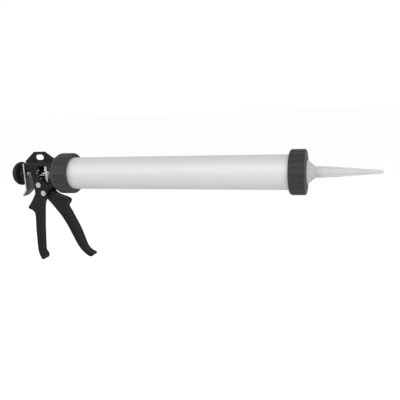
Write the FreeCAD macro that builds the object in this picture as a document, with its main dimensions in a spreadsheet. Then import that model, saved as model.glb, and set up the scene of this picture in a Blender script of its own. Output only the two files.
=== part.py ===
"""Closed-barrel caulking gun, as separate pieces in one parametric document.

Lengths are millimetres, +Z is up and +X runs out of the nozzle. Outlines are drawn about the gun's working
datum: X is 0 at the rear end of the barrel tube, and Y and Z are 0 on the rod's axis. Every body is then
placed so that the middle of the nozzle's outlet is the origin.
"""

import FreeCAD
import Part

import math
import os
import re

import Sketcher

SHEET_NAME = "Sizes"
OPEN_WIDTH = 200.0  # length of a cut that runs right out of a piece on both sides

# Driving dimensions: name, value, what it is.
DRIVING_SIZES = [
    ("barrel_outer_radius", 26.0, "outside of the barrel tube"),
    ("barrel_wall", 1.0, "wall of the barrel tube"),
    ("barrel_length", 393.0, "barrel tube, end to end"),
    ("lip_rise", 2.8, "rise of the lip round the tube's rear end"),
    ("barrel_lip_depth", 2.0, "rolled lip along the tube"),
    ("loose_fit", 0.3, "radial gap between pieces that turn or slide"),
    ("snug_fit", 0.02, "radial gap between pieces fixed to each other"),
    ("nut_wall", 4.4, "wall of the rear collar over the boss"),
    ("nut_rib_count", 20.0, "grip notches round a collar or ring"),
    ("nut_notch_width", 3.0, "width of a grip notch"),
    ("nut_notch_depth", 1.2, "depth of a grip notch"),
    ("nut_chamfer", 3.0, "drop of the bevel on the collar's rear rim"),
    ("ring_chamfer", 2.2, "bevel on the rear rim of the front ring"),
    ("nut_front_chamfer", 1.2, "bevel on the front rim of the collar"),
    ("collar_back", 10.0, "collar behind the tube's rear end"),
    ("boss_back", 14.0, "rear end of the boss, behind the tube's rear end"),
    ("boss_bevel", 3.4, "bevel on the boss behind the collar"),
    ("collar_bevel_run", 5.6, "rear bevel of the collar, along the tube"),
    ("collar_front", 18.0, "collar in front of the tube's rear end"),
    ("boss_step", 0.2, "step from the tube's lip out to the boss"),
    ("seal_depth", 1.2, "gasket at each end of the tube"),
    ("seal_width", 2.6, "gasket at the front, across its band"),
    ("ring_back", 19.2, "front ring along the tube"),
    ("ring_front", 4.0, "rim of the front ring beyond the tube"),
    ("ring_dome", 2.0, "rise of the front ring's face towards its hole"),
    ("flange_depth", 2.4, "flange of the nozzle"),
    ("flange_ledge", 8.0, "ledge of the flange outside the cone"),
    ("neck_radius", 8.3, "nozzle's neck"),
    ("neck_place", 17.3, "neck beyond the tube"),
    ("neck_step", 0.7, "bevels that meet at the neck"),
    ("spigot_inset", 2.5, "spigot inside the neck"),
    ("spigot_wall", 1.4, "wall of the spigot"),
    ("spigot_length", 7.0, "threaded spigot inside the tip"),
    ("stem_run", 19.2, "neck to the start of the slender taper"),
    ("stem_draft", 0.6, "neck down to the root of the slender taper"),
    ("nozzle_wall", 1.6, "wall of the nozzle's cone"),
    ("nozzle_reach", 108.6, "outlet beyond the tube"),
    ("tip_wall", 0.8, "wall of the nozzle's tip"),
    ("outlet_radius", 1.5, "bore of the nozzle's tip"),
    ("outlet_bore_length", 12.0, "parallel bore at the tip"),
    ("rod_radius", 4.0, "push rod"),
    ("rod_end_step", 1.0, "step down to the threaded front end of the push rod"),
    ("knob_depth", 15.5, "knob over the rod, along the rod"),
    ("rod_end_inset", 1.0, "rod's end behind the front face of its nut"),
    ("front_stop_gap", 1.0, "front face of the piston's nut behind the tube's front end"),
    ("knob_clearance", 2.0, "knob behind the release lever"),
    ("knob_hub_wall", 4.5, "wall of the knob's hub"),
    ("knob_radius", 20.0, "knob's rim"),
    ("knob_dome", 7.0, "end of the knob behind the rod's end"),
    ("knob_rounding", 5.0, "rounding of the knob's rim"),
    ("washer_depth", 2.0, "washer behind the piston"),
    ("washer_rim", 5.0, "rim of the piston's washer round the rod"),
    ("piston_gap", 0.8, "gap round the piston"),
    ("piston_depth", 9.0, "piston's hub along the rod"),
    ("piston_face", 3.0, "thickness of the piston's face"),
    ("piston_skirt", 14.0, "piston's skirt along the barrel"),
    ("skirt_wall", 3.6, "wall of the piston's skirt"),
    ("wiper_groove", 1.8, "depth of the wiper ring's groove"),
    ("wiper_width", 3.0, "wiper ring along the barrel"),
    ("nut_thread_wall", 2.0, "wall of the piston's nut"),
    ("nut_depth", 5.0, "piston's nut along the rod"),
    ("cheek_gap", 0.2, "gap between a cheek and a side wall"),
    ("housing_wall", 3.0, "side wall"),
    ("roof_clearance", 2.5, "roof above the gripping plates"),
    ("roof_depth", 4.5, "roof's thickness"),
    ("shoulder_rounding", 4.0, "rounding of the roof's long edges"),
    ("bridge_back", 59.6, "rear bridge, its rear face behind the tube"),
    ("bridge_depth", 5.6, "rear bridge along the rod"),
    ("bridge_rim", 3.5, "rear bridge under its bush"),
    ("spring_seat_place", 9.0, "seat of the drive spring behind the tube"),
    ("seat_rim", 2.8, "pocket round the drive spring"),
    ("bush_wall", 2.0, "wall of a rod bush"),
    ("fin_width", 4.0, "fin across the gun"),
    ("slot_rim", 4.7, "fin above the hanging slot"),
    ("slot_place", 46.35, "hanging slot's middle behind the tube"),
    ("slot_rise", 7.5, "hanging slot's middle above the roof"),
    ("slot_radius", 4.6, "half the height of the hanging slot"),
    ("slot_centres", 7.1, "between the centres of the slot's round ends"),
    ("handle_screw_run", 8.0, "handle's screw behind the trigger's"),
    ("handle_screw_rise", 14.0, "handle's screw above the trigger's"),
    ("trigger_screw_run", 3.0, "trigger's pivot screw behind the plates"),
    ("trigger_screw_rise", 1.4, "trigger's pivot screw above the collar's lowest point"),
    ("screw_radius", 2.5, "shank of a pivot screw"),
    ("screw_head_rim", 2.1, "rim of a pivot screw's head"),
    ("screw_head_depth", 2.0, "head of a pivot screw"),
    ("screw_slot_width", 1.2, "driver's slot"),
    ("screw_slot_depth", 0.9, "driver's slot"),
    ("screw_nut_wall", 1.5, "wall of a pivot nut"),
    ("screw_nut_depth", 3.0, "pivot nut"),
    ("cheek_wall", 3.0, "one cheek of the handle"),
    ("fork_clearance", 10.0, "floor of the handle's fork under the trigger's screw"),
    ("grip_half_width", 6.0, "handle's grip"),
    ("grip_rounding", 2.4, "rounding of the grips' long edges"),
    ("trigger_half_width", 6.5, "trigger"),
    ("nose_clearance", 2.4, "trigger's nose under the rod"),
    ("trigger_bush_wall", 1.7, "wall of the trigger's bush, with its fit"),
    ("spacer_wall", 1.1, "wall of the spacer on the handle's screw, with its fit"),
    ("plate_back", 35.0, "rear face of the gripping plates"),
    ("plate_depth", 2.0, "one gripping plate"),
    ("plate_flank", 3.5, "gripping plate beside the rod"),
    ("plate_top", 13.0, "gripping plate"),
    ("plate_bottom", -15.0, "gripping plate"),
    ("spring_washer_depth", 1.0, "washer under the drive spring"),
    ("spring_washer_rim", 1.7, "washer outside the drive spring's wire"),
    ("drive_clearance", 2.7, "rod to the middle of the drive spring's wire"),
    ("drive_wire_radius", 0.65, "drive spring's wire"),
    ("drive_turns", 6.0, "drive spring"),
    ("catch_clearance", 2.3, "rod to the middle of the catch spring's wire"),
    ("catch_wire_radius", 0.55, "catch spring's wire"),
    ("catch_turns", 4.0, "catch spring"),
    ("lever_gap", 11.9, "release lever behind the rear bridge"),
    ("lever_depth", 2.5, "release lever's plate"),
    ("lever_inset", 1.0, "release lever inside the housing's width"),
    ("lever_drop", 2.0, "release lever's top under the top of the roof"),
    ("lever_bend", -27.5, "where the lever's tail bends back"),
    ("lever_tail_run", 8.0, "lever's tail, backwards"),
    ("lever_tail_drop", 10.6, "lever's tail, downwards"),
    ("lever_hole_clearance", 0.9, "rod's hole in the lever, round the rod"),
    ("lever_corner", 8.5, "corner cut from the lever's tail"),
    ("lever_notch_gap", 0.6, "notch beside the fin's tail"),
    ("lever_notch_depth", 5.0, "notch round the fin's tail"),
]

# Sizes that follow the ones above, so that pieces still fit when one of those changes.
FITTED_SIZES = [
    ("barrel_bore_radius", "barrel_outer_radius - barrel_wall", "bore of the barrel tube"),
    ("barrel_lip_radius", "barrel_outer_radius + lip_rise", "lip round the tube's rear end"),
    ("boss_radius", "barrel_lip_radius + boss_step", "threaded boss of the housing"),
    ("nut_radius", "boss_radius + nut_wall", "outside of the rear collar and front ring"),
    ("flange_radius", "barrel_outer_radius", "flange of the nozzle"),
    ("cone_radius", "flange_radius - flange_ledge", "nozzle where it leaves the ring"),
    ("ring_hole_radius", "cone_radius + loose_fit", "hole in the front ring"),
    ("spigot_radius", "neck_radius - spigot_inset", "threaded spigot inside the tip"),
    ("stem_place", "neck_place + stem_run", "start of the slender taper beyond the tube"),
    ("stem_radius", "neck_radius - stem_draft", "root of the slender taper"),
    ("tip_radius", "outlet_radius + tip_wall", "outside of the nozzle's tip"),
    ("rod_end_radius", "rod_radius - rod_end_step", "threaded front end of the push rod"),
    ("washer_radius", "rod_radius + washer_rim", "washer behind the piston"),
    ("piston_radius", "barrel_bore_radius - piston_gap", "piston"),
    ("wiper_radius", "barrel_bore_radius - loose_fit", "wiper ring"),
    ("wiper_seat_radius", "piston_radius - wiper_groove", "groove of the wiper ring"),
    ("nut_flats", "2 * (rod_end_radius + nut_thread_wall)", "across the flats of the piston's nut"),
    ("piston_stack", "washer_depth + piston_depth + nut_depth", "what the rod's threaded end carries"),
    ("rod_stop_short", "piston_stack + front_stop_gap", "rod's shoulder behind the tube's front end"),
    ("rod_end_length", "piston_stack - rod_end_inset", "threaded front end of the rod"),
    ("fork_half_width", "trigger_half_width + loose_fit", "inside of the handle's cheeks"),
    ("cheek_half_width", "fork_half_width + cheek_wall", "outside of the handle's cheeks"),
    ("housing_half_width", "cheek_half_width + cheek_gap + housing_wall", "outside of a side wall"),
    ("housing_top", "plate_top + roof_clearance + roof_depth", "roof of the housing above the rod's axis"),
    ("bush_radius", "rod_radius + bush_wall", "outside of a rod bush"),
    ("bridge_low", "bush_radius + bridge_rim", "rear bridge's lower edge under the rod's axis"),
    ("slot_height", "housing_top + slot_rise", "hanging slot's middle above the rod's axis"),
    ("fin_top", "slot_height + slot_radius + slot_rim", "fin above the rod's axis"),
    ("drive_coil_radius", "rod_radius + drive_clearance", "drive spring to the middle of its wire"),
    ("spring_washer_radius", "drive_coil_radius + spring_washer_rim", "washer under the drive spring"),
    ("spring_seat_radius", "drive_coil_radius + seat_rim", "pocket of the drive spring"),
    ("catch_coil_radius", "rod_radius + catch_clearance", "catch spring to the middle of its wire"),
    ("plate_half_width", "rod_radius + plate_flank", "gripping plate"),
    ("trigger_screw_x", "-plate_back - trigger_screw_run", "trigger's pivot screw"),
    ("trigger_screw_z", "-nut_radius + trigger_screw_rise", "trigger's pivot screw"),
    ("handle_screw_x", "trigger_screw_x - handle_screw_run", "handle's screw"),
    ("handle_screw_z", "trigger_screw_z + handle_screw_rise", "handle's screw"),
    ("fork_floor", "trigger_screw_z - fork_clearance", "floor of the handle's fork"),
    ("screw_head_radius", "screw_radius + screw_head_rim", "head of a pivot screw"),
    ("screw_nut_flats", "2 * (screw_radius + screw_nut_wall)", "across the flats of a pivot nut"),
    ("trigger_bush_radius", "screw_radius + trigger_bush_wall", "bush in the trigger"),
    ("spacer_radius", "screw_radius + spacer_wall", "spacer on the handle's screw"),
    ("lever_place", "bridge_back + lever_gap", "front face of the release lever"),
    ("lever_half_width", "housing_half_width - lever_inset", "release lever"),
    ("lever_top", "housing_top - lever_drop", "release lever"),
    ("lever_hole_radius", "rod_radius + lever_hole_clearance", "rod's hole in the lever"),
    ("lever_notch_half_width", "fin_width / 2 + lever_notch_gap", "notch round the fin's tail"),
    ("lever_notch_floor", "lever_top - lever_notch_depth", "notch round the fin's tail"),
    ("knob_hub_place", "lever_place + lever_depth + knob_clearance", "knob's front face behind the tube"),
    ("knob_hub_radius", "rod_radius + knob_hub_wall", "knob's hub"),
    ("rod_tail", "knob_hub_place + knob_depth", "push rod behind the tube's rear end"),
]

document = FreeCAD.newDocument("caulking_gun")
sheet = document.addObject("Spreadsheet::Sheet", SHEET_NAME)
PIECES = []


# ---------------------------------------------------------------- the sheet and its expressions

def fill_sheet():
    """Write every size to the sheet, with its name as alias and its meaning beside it."""
    fitted = [(name, "=" + expression, meaning) for name, expression, meaning in FITTED_SIZES]
    for row, (name, value, meaning) in enumerate(DRIVING_SIZES + fitted, start=1):
        sheet.set("A%d" % row, str(value))
        sheet.setAlias("A%d" % row, name)
        sheet.set("B%d" % row, meaning)
    document.recompute()


def tied(expression):
    """The expression with the sheet's name put before each size in it."""
    return re.sub(r"[a-z][a-z_]+", lambda word: SHEET_NAME + "." + word.group(0), str(expression))


def size(expression):
    """The expression's value now."""
    return float(sheet.evalExpression(tied(expression)))


# ---------------------------------------------------------------- bodies, sketches and features

def new_body(label):
    """An empty body whose place follows the nozzle's outlet."""
    body = document.addObject("PartDesign::Body", label)
    place_on_gun(body, label)
    return body


def place_on_gun(piece, label):
    """Name the piece and move it from the working datum to the outlet."""
    piece.Label = label
    piece.setExpression("Placement.Base.x", tied("-(barrel_length + nozzle_reach)"))
    PIECES.append(piece)


def origin_feature(body, role):
    """A plane or an axis of the body's own origin."""
    return next(f for f in body.Origin.OriginFeatures if f.Role == role)


def new_sketch(body, name, role="XZ_Plane", offset="0"):
    """An empty sketch on one of the body's planes, moved along the plane's normal by the offset."""
    sketch = body.newObject("Sketcher::SketchObject", body.Name + "_" + name)
    sketch.AttachmentSupport = [(origin_feature(body, role), "")]
    sketch.MapMode = "FlatFace"
    sketch.setExpression("AttachmentOffset.Base.z", tied(offset))
    return sketch


def tie_point(sketch, edge, end, x, z):
    """Hold one end of an edge at a place that the sheet gives."""
    for kind, expression in (("DistanceX", x), ("DistanceY", z)):
        number = sketch.addConstraint(Sketcher.Constraint(kind, -1, 1, edge, end, size(expression)))
        sketch.setExpression("Constraints[%d]" % number, tied(expression))


def draw_outline(sketch, corners):
    """A closed outline of straight edges, each corner tied to the sheet."""
    points = [FreeCAD.Vector(size(x), size(z), 0) for x, z in corners]
    first = sketch.GeometryCount
    count = len(points)
    for i in range(count):
        sketch.addGeometry(Part.LineSegment(points[i], points[(i + 1) % count]))
    for i in range(count):
        follower = first + (i + 1) % count
        sketch.addConstraint(Sketcher.Constraint("Coincident", first + i, 2, follower, 1))
    for i, (x, z) in enumerate(corners):
        tie_point(sketch, first + i, 1, x, z)


def draw_circle(sketch, x, z, radius):
    """A circle with its centre and radius tied to the sheet."""
    centre = FreeCAD.Vector(size(x), size(z), 0)
    edge = sketch.addGeometry(Part.Circle(centre, FreeCAD.Vector(0, 0, 1), size(radius)))
    number = sketch.addConstraint(Sketcher.Constraint("Radius", edge, size(radius)))
    sketch.setExpression("Constraints[%d]" % number, tied(radius))
    tie_point(sketch, edge, 3, x, z)


def draw_hexagon(sketch, x, z, flats):
    """A hexagon with the given distance across its flats."""
    reach = "(%s) / (2 * 0.8660254)" % flats
    corners = []
    for i in range(6):
        turn = math.radians(60 * i)
        corners.append((
            "%s + %s * %.7f" % (x, reach, math.cos(turn)),
            "%s + %s * %.7f" % (z, reach, math.sin(turn)),
        ))
    draw_outline(sketch, corners)


def draw_slot(sketch, x, z, centres, radius):
    """A slot with round ends, along the sketch's first axis."""
    middle_x, middle_z = size(x), size(z)
    half, round_radius = size(centres) / 2, size(radius)
    ends = []
    for side in (-1, 1):
        centre = FreeCAD.Vector(middle_x + side * half, middle_z, 0)
        circle = Part.Circle(centre, FreeCAD.Vector(0, 0, 1), round_radius)
        start = math.pi / 2 if side < 0 else -math.pi / 2
        ends.append(sketch.addGeometry(Part.ArcOfCircle(circle, start, start + math.pi)))
    rear, front = ends
    for height, rear_end, front_end in ((round_radius, 1, 2), (-round_radius, 2, 1)):
        line = sketch.addGeometry(Part.LineSegment(
            FreeCAD.Vector(middle_x - half, middle_z + height, 0),
            FreeCAD.Vector(middle_x + half, middle_z + height, 0),
        ))
        sketch.addConstraint(Sketcher.Constraint("Tangent", rear, rear_end, line, 1))
        sketch.addConstraint(Sketcher.Constraint("Tangent", front, front_end, line, 2))
    number = sketch.addConstraint(Sketcher.Constraint("Radius", rear, round_radius))
    sketch.setExpression("Constraints[%d]" % number, tied(radius))
    tie_point(sketch, rear, 3, "%s - (%s) / 2" % (x, centres), z)
    tie_point(sketch, front, 3, "%s + (%s) / 2" % (x, centres), z)


def feature(body, kind, sketch):
    """A feature of the body made from the sketch."""
    made = body.newObject("PartDesign::" + kind, sketch.Name + "_" + kind.lower())
    made.Profile = sketch
    sketch.Visibility = False
    return made


def turned(body, name, corners, kind="Revolution"):
    """Turn an outline of (place along the axis, radius) once round the rod's axis."""
    sketch = new_sketch(body, name)
    draw_outline(sketch, corners)
    made = feature(body, kind, sketch)
    made.ReferenceAxis = (sketch, ["H_Axis"])
    made.Angle = 360
    document.recompute()
    return made


def ring(body, name, start, end, inner, outer):
    """A plain ring round the rod's axis."""
    corners = [(start, inner), (end, inner), (end, outer), (start, outer)]
    return turned(body, name, corners)


def extruded(body, sketch, length, kind="Pad", both_ways=True):
    """Pad or pocket the sketch, evenly to both sides unless told otherwise."""
    made = feature(body, kind, sketch)
    made.Type = "Length"
    made.SideType = "Symmetric" if both_ways else "One side"
    made.setExpression("Length", tied(length))
    document.recompute()
    return made


def side_pad(body, name, corners, width):
    """A side view padded evenly across the gun."""
    sketch = new_sketch(body, name)
    draw_outline(sketch, corners)
    return extruded(body, sketch, width)


def side_cut(body, name, corners, width=OPEN_WIDTH):
    """A side view cut evenly across the gun."""
    sketch = new_sketch(body, name)
    draw_outline(sketch, corners)
    return extruded(body, sketch, width, "Pocket")


def side_hole(body, name, x, z, radius):
    """A round hole right across the gun."""
    sketch = new_sketch(body, name)
    draw_circle(sketch, x, z, radius)
    return extruded(body, sketch, OPEN_WIDTH, "Pocket")


def box_between(x_low, x_high, z_low, z_high):
    """The four corners of a rectangle."""
    return [(x_low, z_low), (x_high, z_low), (x_high, z_high), (x_low, z_high)]


def rounded(body, base, pick, radius, kind="Fillet"):
    """Round or bevel the edges that pick() chooses by their middle and their ends."""
    names = []
    for number, edge in enumerate(base.Shape.Edges, start=1):
        first, last = edge.ParameterRange
        middle = edge.valueAt((first + last) / 2)
        if pick(edge, middle):
            names.append("Edge%d" % number)
    made = body.newObject("PartDesign::" + kind, base.Name + "_" + kind.lower())
    made.Base = (base, names)
    made.setExpression("Radius" if kind == "Fillet" else "Size", tied(radius))
    document.recompute()
    return made


def runs_across(edge, _middle):
    """True for a straight edge along Y."""
    if edge.Curve.TypeId != "Part::GeomLine":
        return False
    return abs(edge.Curve.Direction.y) > 0.999


def near(value, target):
    """True when two lengths agree to a hundredth of a millimetre."""
    return abs(value - target) < 0.01


# ---------------------------------------------------------------- barrel end: tube, seals, nuts, nozzle

def make_barrel_tube():
    """Aluminium tube with a rolled lip at its rear end."""
    inner = "barrel_bore_radius"
    corners = [
        ("0", inner),
        ("barrel_length", inner),
        ("barrel_length", "barrel_outer_radius"),
        ("barrel_lip_depth", "barrel_outer_radius"),
        ("barrel_lip_depth", "barrel_lip_radius"),
        ("0", "barrel_lip_radius"),
    ]
    turned(new_body("barrel_tube"), "section", corners)


def make_barrel_seal():
    """Gasket between the housing's boss and the tube's rear end."""
    body = new_body("barrel_seal")
    inner = "barrel_bore_radius"
    ring(body, "section", "-seal_depth", "0", inner, "barrel_lip_radius - loose_fit")


def cut_grip_notches(body, name, offset, length):
    """Notches for the fingers, all round a collar or ring."""
    sketch = new_sketch(body, name, "YZ_Plane", offset)
    half = "nut_notch_width / 2"
    floor = "nut_radius - nut_notch_depth"
    draw_outline(sketch, box_between("-" + half, half, floor, "nut_radius + nut_notch_width"))
    notch = extruded(body, sketch, length, "Pocket", both_ways=False)
    before = body.Shape.Volume
    notch.Reversed = True
    document.recompute()
    pattern = body.newObject("PartDesign::PolarPattern", body.Name + "_notches")
    pattern.Originals = [notch]
    pattern.Axis = (origin_feature(body, "X_Axis"), [""])
    pattern.Angle = 360
    pattern.setExpression("Occurrences", tied("nut_rib_count"))
    body.Tip = pattern
    document.recompute()
    if body.Shape.Volume >= before:
        raise ValueError(body.Label + ": the grip notches cut nothing")


def make_rear_collar():
    """Ribbed nut that draws the tube's lip onto the housing."""
    body = new_body("rear_collar")
    bore = "boss_radius + loose_fit"
    hole = "barrel_outer_radius + loose_fit"
    corners = [
        ("-collar_back", bore),
        ("barrel_lip_depth", bore),
        ("barrel_lip_depth", hole),
        ("collar_front", hole),
        ("collar_front", "nut_radius - nut_front_chamfer"),
        ("collar_front - nut_front_chamfer", "nut_radius"),
        ("-collar_back + collar_bevel_run", "nut_radius"),
        ("-collar_back", "nut_radius - nut_chamfer"),
    ]
    turned(body, "section", corners)
    cut_grip_notches(body, "notch", "-collar_back", "collar_back + collar_front - nut_chamfer")


def make_front_ring():
    """Ribbed cap nut that clamps the nozzle's flange to the tube."""
    body = new_body("front_ring")
    bore = "barrel_outer_radius + loose_fit"
    lip = "barrel_length + seal_depth + flange_depth"
    corners = [
        ("barrel_length - ring_back", bore),
        (lip, bore),
        (lip, "ring_hole_radius"),
        ("barrel_length + ring_front + ring_dome", "ring_hole_radius"),
        ("barrel_length + ring_front", "nut_radius - nut_front_chamfer"),
        ("barrel_length + ring_front - nut_front_chamfer", "nut_radius"),
        ("barrel_length - ring_back + ring_chamfer", "nut_radius"),
        ("barrel_length - ring_back", "nut_radius - ring_chamfer"),
    ]
    turned(body, "section", corners)
    cut_grip_notches(body, "notch", "barrel_length - ring_back", "ring_back + ring_front - ring_chamfer")


def make_nozzle_seal():
    """Gasket between the tube's front end and the nozzle's flange."""
    body = new_body("nozzle_seal")
    start = "barrel_length"
    ring(body, "section", start, start + " + seal_depth", "flange_radius - seal_width", "flange_radius")


def make_nozzle_base():
    """Flange and short wide cone, with a threaded spigot for the tip."""
    body = new_body("nozzle_base")
    flange = "barrel_length + seal_depth"
    cone_start = flange + " + flange_depth"
    neck = "barrel_length + neck_place"
    bore = "spigot_radius - spigot_wall"
    corners = [
        (flange, "cone_radius - nozzle_wall"),
        (neck, bore),
        (neck + " + spigot_length", bore),
        (neck + " + spigot_length", "spigot_radius"),
        (neck, "spigot_radius"),
        (neck, "neck_radius - neck_step"),
        (neck + " - neck_step", "neck_radius"),
        (cone_start + " + nozzle_wall", "cone_radius"),
        (cone_start, "cone_radius"),
        (cone_start, "flange_radius"),
        (flange, "flange_radius"),
    ]
    turned(body, "section", corners)


def make_nozzle_tip():
    """Long slender taper that screws on the base's spigot."""
    body = new_body("nozzle_tip")
    neck = "barrel_length + neck_place"
    socket_end = neck + " + spigot_length + snug_fit"
    tip = "barrel_length + nozzle_reach"
    corners = [
        (neck, "spigot_radius + snug_fit"),
        (socket_end, "spigot_radius + snug_fit"),
        (socket_end, "spigot_radius - spigot_wall"),
        (tip + " - outlet_bore_length", "outlet_radius"),
        (tip, "outlet_radius"),
        (tip, "tip_radius"),
        ("barrel_length + stem_place", "stem_radius"),
        (neck + " + neck_step", "neck_radius"),
        (neck, "neck_radius - neck_step"),
    ]
    turned(body, "section", corners)


# ---------------------------------------------------------------- rod, knob and piston

def make_push_rod():
    """Round rod with a smaller threaded end for the piston."""
    shoulder = "barrel_length - rod_stop_short"
    end = shoulder + " + rod_end_length"
    corners = [
        ("-rod_tail", "0"),
        (end, "0"),
        (end, "rod_end_radius"),
        (shoulder, "rod_end_radius"),
        (shoulder, "rod_radius"),
        ("-rod_tail", "rod_radius"),
    ]
    turned(new_body("push_rod"), "section", corners)


def make_pull_knob():
    """Mushroom knob on the rod's rear end."""
    body = new_body("pull_knob")
    bore = "rod_radius + snug_fit"
    corners = [
        ("-knob_hub_place", bore),
        ("-rod_tail", bore),
        ("-rod_tail", "0"),
        ("-rod_tail - knob_dome", "0"),
        ("-rod_tail - knob_dome * 0.8", "knob_radius * 0.6"),
        ("-rod_tail", "knob_radius"),
        ("-rod_tail + knob_dome", "knob_radius"),
        ("-knob_hub_place - knob_dome", "knob_hub_radius * 1.25"),
        ("-knob_hub_place - knob_dome * 0.6", "knob_hub_radius"),
        ("-knob_hub_place", "knob_hub_radius"),
    ]
    made = turned(body, "section", corners)
    rim = size("knob_radius")
    rounded(body, made, lambda edge, middle: near(math.hypot(middle.y, middle.z), rim), "knob_rounding / 2")


def piston_start():
    """Where the piston's hub begins, along the rod."""
    return "barrel_length - rod_stop_short + washer_depth"


def make_piston_washer():
    """Washer between the rod's shoulder and the piston."""
    body = new_body("piston_washer")
    start = "barrel_length - rod_stop_short"
    ring(body, "section", start, start + " + washer_depth", "rod_end_radius + snug_fit", "washer_radius")


def make_piston():
    """Cup-shaped piston with a groove for its wiper ring."""
    start = piston_start()
    front = start + " + piston_depth"
    hub = "washer_radius"
    skirt_back = front + " - piston_skirt"
    groove_front = front + " - piston_face - wiper_width / 3"
    groove_back = groove_front + " - wiper_width"
    corners = [
        (start, "rod_end_radius + snug_fit"),
        (front, "rod_end_radius + snug_fit"),
        (front, "piston_radius"),
        (groove_front, "piston_radius"),
        (groove_front, "wiper_seat_radius"),
        (groove_back, "wiper_seat_radius"),
        (groove_back, "piston_radius"),
        (skirt_back, "piston_radius"),
        (skirt_back, "piston_radius - skirt_wall"),
        (front + " - piston_face", "piston_radius - skirt_wall"),
        (front + " - piston_face", hub),
        (start, hub),
    ]
    turned(new_body("piston"), "section", corners)


def make_piston_wiper():
    """Soft ring that wipes the barrel."""
    body = new_body("piston_wiper")
    front = piston_start() + " + piston_depth - piston_face - wiper_width / 3"
    ring(body, "section", front + " - wiper_width", front, "wiper_seat_radius", "wiper_radius")


def make_piston_nut():
    """Nut that holds the piston on the rod."""
    body = new_body("piston_nut")
    sketch = new_sketch(body, "hexagon", "YZ_Plane", piston_start() + " + piston_depth")
    draw_hexagon(sketch, "0", "0", "nut_flats")
    draw_circle(sketch, "0", "0", "rod_end_radius + snug_fit")
    extruded(body, sketch, "nut_depth", both_ways=False)


# ---------------------------------------------------------------- housing

def make_frame_housing():
    """Cast housing: two side walls, roof, rear bridge, threaded boss and hanging fin."""
    body = new_body("frame_housing")
    width = "2 * housing_half_width"
    inside = "2 * (housing_half_width - housing_wall)"
    walls = [
        ("-boss_back + 2", "housing_top"),
        ("-boss_back + 2", "handle_screw_z + 2"),
        ("trigger_screw_x + 10.5", "trigger_screw_z + 5.5"),
        ("trigger_screw_x + 7.2", "trigger_screw_z - 1"),
        ("trigger_screw_x + 4", "trigger_screw_z - 6.4"),
        ("trigger_screw_x - 3", "trigger_screw_z - 7.4"),
        ("trigger_screw_x - 8", "trigger_screw_z - 7"),
        ("trigger_screw_x - 17", "trigger_screw_z - 2.5"),
        ("trigger_screw_x - 17.6", "handle_screw_z + 1.3"),
        ("-bridge_back", "housing_top - 16.2"),
        ("-lever_place + loose_fit", "housing_top - 3.4"),
        ("-lever_place + loose_fit", "housing_top - 1.4"),
        ("-bridge_back - 6", "housing_top"),
    ]
    shell = side_pad(body, "walls", walls, width)
    high = size("housing_top")
    wide = size("housing_half_width")

    def is_shoulder(edge, middle):
        return near(middle.z, high) and near(abs(middle.y), wide) and not runs_across(edge, middle)

    rounded(body, shell, is_shoulder, "shoulder_rounding")
    roof = "housing_top - roof_depth"
    bridge_front = "-bridge_back + bridge_depth"
    cavity_front = "-boss_back - 2"
    side_cut(body, "cavity", box_between(bridge_front, cavity_front, "-80", roof), inside)
    side_cut(body, "rear_opening", box_between("-120", cavity_front, "-80", "-bridge_low"), inside)
    side_cut(body, "tail_opening", box_between("-120", "-bridge_back", "-80", roof), inside)
    boss = [
        ("-boss_back", "0"),
        ("-seal_depth", "0"),
        ("-seal_depth", "boss_radius"),
        ("-boss_back + boss_bevel", "boss_radius"),
        ("-boss_back", "boss_radius - boss_bevel"),
    ]
    turned(body, "boss", boss)
    add_fin(body)
    cut_windows(body)
    bore = "bush_radius + snug_fit"
    turned(body, "bush_bore", box_between("-bridge_back - 5", "0", "0", bore), "Groove")
    seat = box_between("-boss_back - 10", "-spring_seat_place", "0", "spring_seat_radius")
    turned(body, "spring_seat", seat, "Groove")
    for name in ("handle", "trigger"):
        side_hole(body, name + "_screw_hole", name + "_screw_x", name + "_screw_z", "screw_radius + snug_fit")


def add_fin(body):
    """Thin fin along the roof, with the slot that hangs the gun on a hook."""
    outline = [
        ("-boss_back", "housing_top - roof_depth"),
        ("-boss_back", "housing_top"),
        ("-boss_back - 2.8", "housing_top + 2.9"),
        ("slot_place * -1 + 10", "fin_top"),
        ("slot_place * -1 - 10.2", "fin_top"),
        ("-lever_place - 4", "housing_top + 1"),
        ("-lever_place - 3.6", "housing_top - 0.6"),
        ("-lever_place + loose_fit", "housing_top - roof_depth + 1"),
    ]
    sketch = new_sketch(body, "fin")
    draw_outline(sketch, outline)
    extruded(body, sketch, "fin_width")
    sketch = new_sketch(body, "hanging_slot")
    draw_slot(sketch, "slot_place * -1", "slot_height", "slot_centres", "slot_radius")
    extruded(body, sketch, OPEN_WIDTH, "Pocket")


def cut_windows(body):
    """Lightening window through both side walls."""
    roof = "housing_top - roof_depth"
    back = "-bridge_back + bridge_depth + 4"
    front = "-boss_back - 7"
    window = [
        (back, "3.5"),
        (back + " + 4", "housing_top - 8"),
        (back + " + 10", roof),
        (front + " - 5", roof),
        (front, "housing_top - 11"),
        (front, "handle_screw_z + 12"),
        (front + " - 5", "handle_screw_z + 1"),
        (front + " - 11", "handle_screw_z + 0.5"),
        (back + " + 6", "handle_screw_z + 12"),
        (back, "-2"),
    ]
    cut = side_cut(body, "window", window)
    reach = size("housing_half_width")

    def is_window_corner(edge, middle):
        along = size(back) - 1 < middle.x < size(front) + 1
        upright = size("handle_screw_z") < middle.z < size(roof) - 0.1
        inside = along and upright
        return runs_across(edge, middle) and inside and abs(middle.y) < reach

    rounded(body, cut, is_window_corner, "loose_fit * 5")


def make_rod_bushes():
    """Bushes that guide the rod through the bridge and the boss."""
    inner = "rod_radius + loose_fit"
    spans = {
        "rear_rod_bush": ("-bridge_back", "-bridge_back + bridge_depth"),
        "front_rod_bush": ("-spring_seat_place", "-seal_depth"),
    }
    for label, (start, end) in spans.items():
        ring(new_body(label), "section", start, end, inner, "bush_radius")


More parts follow.
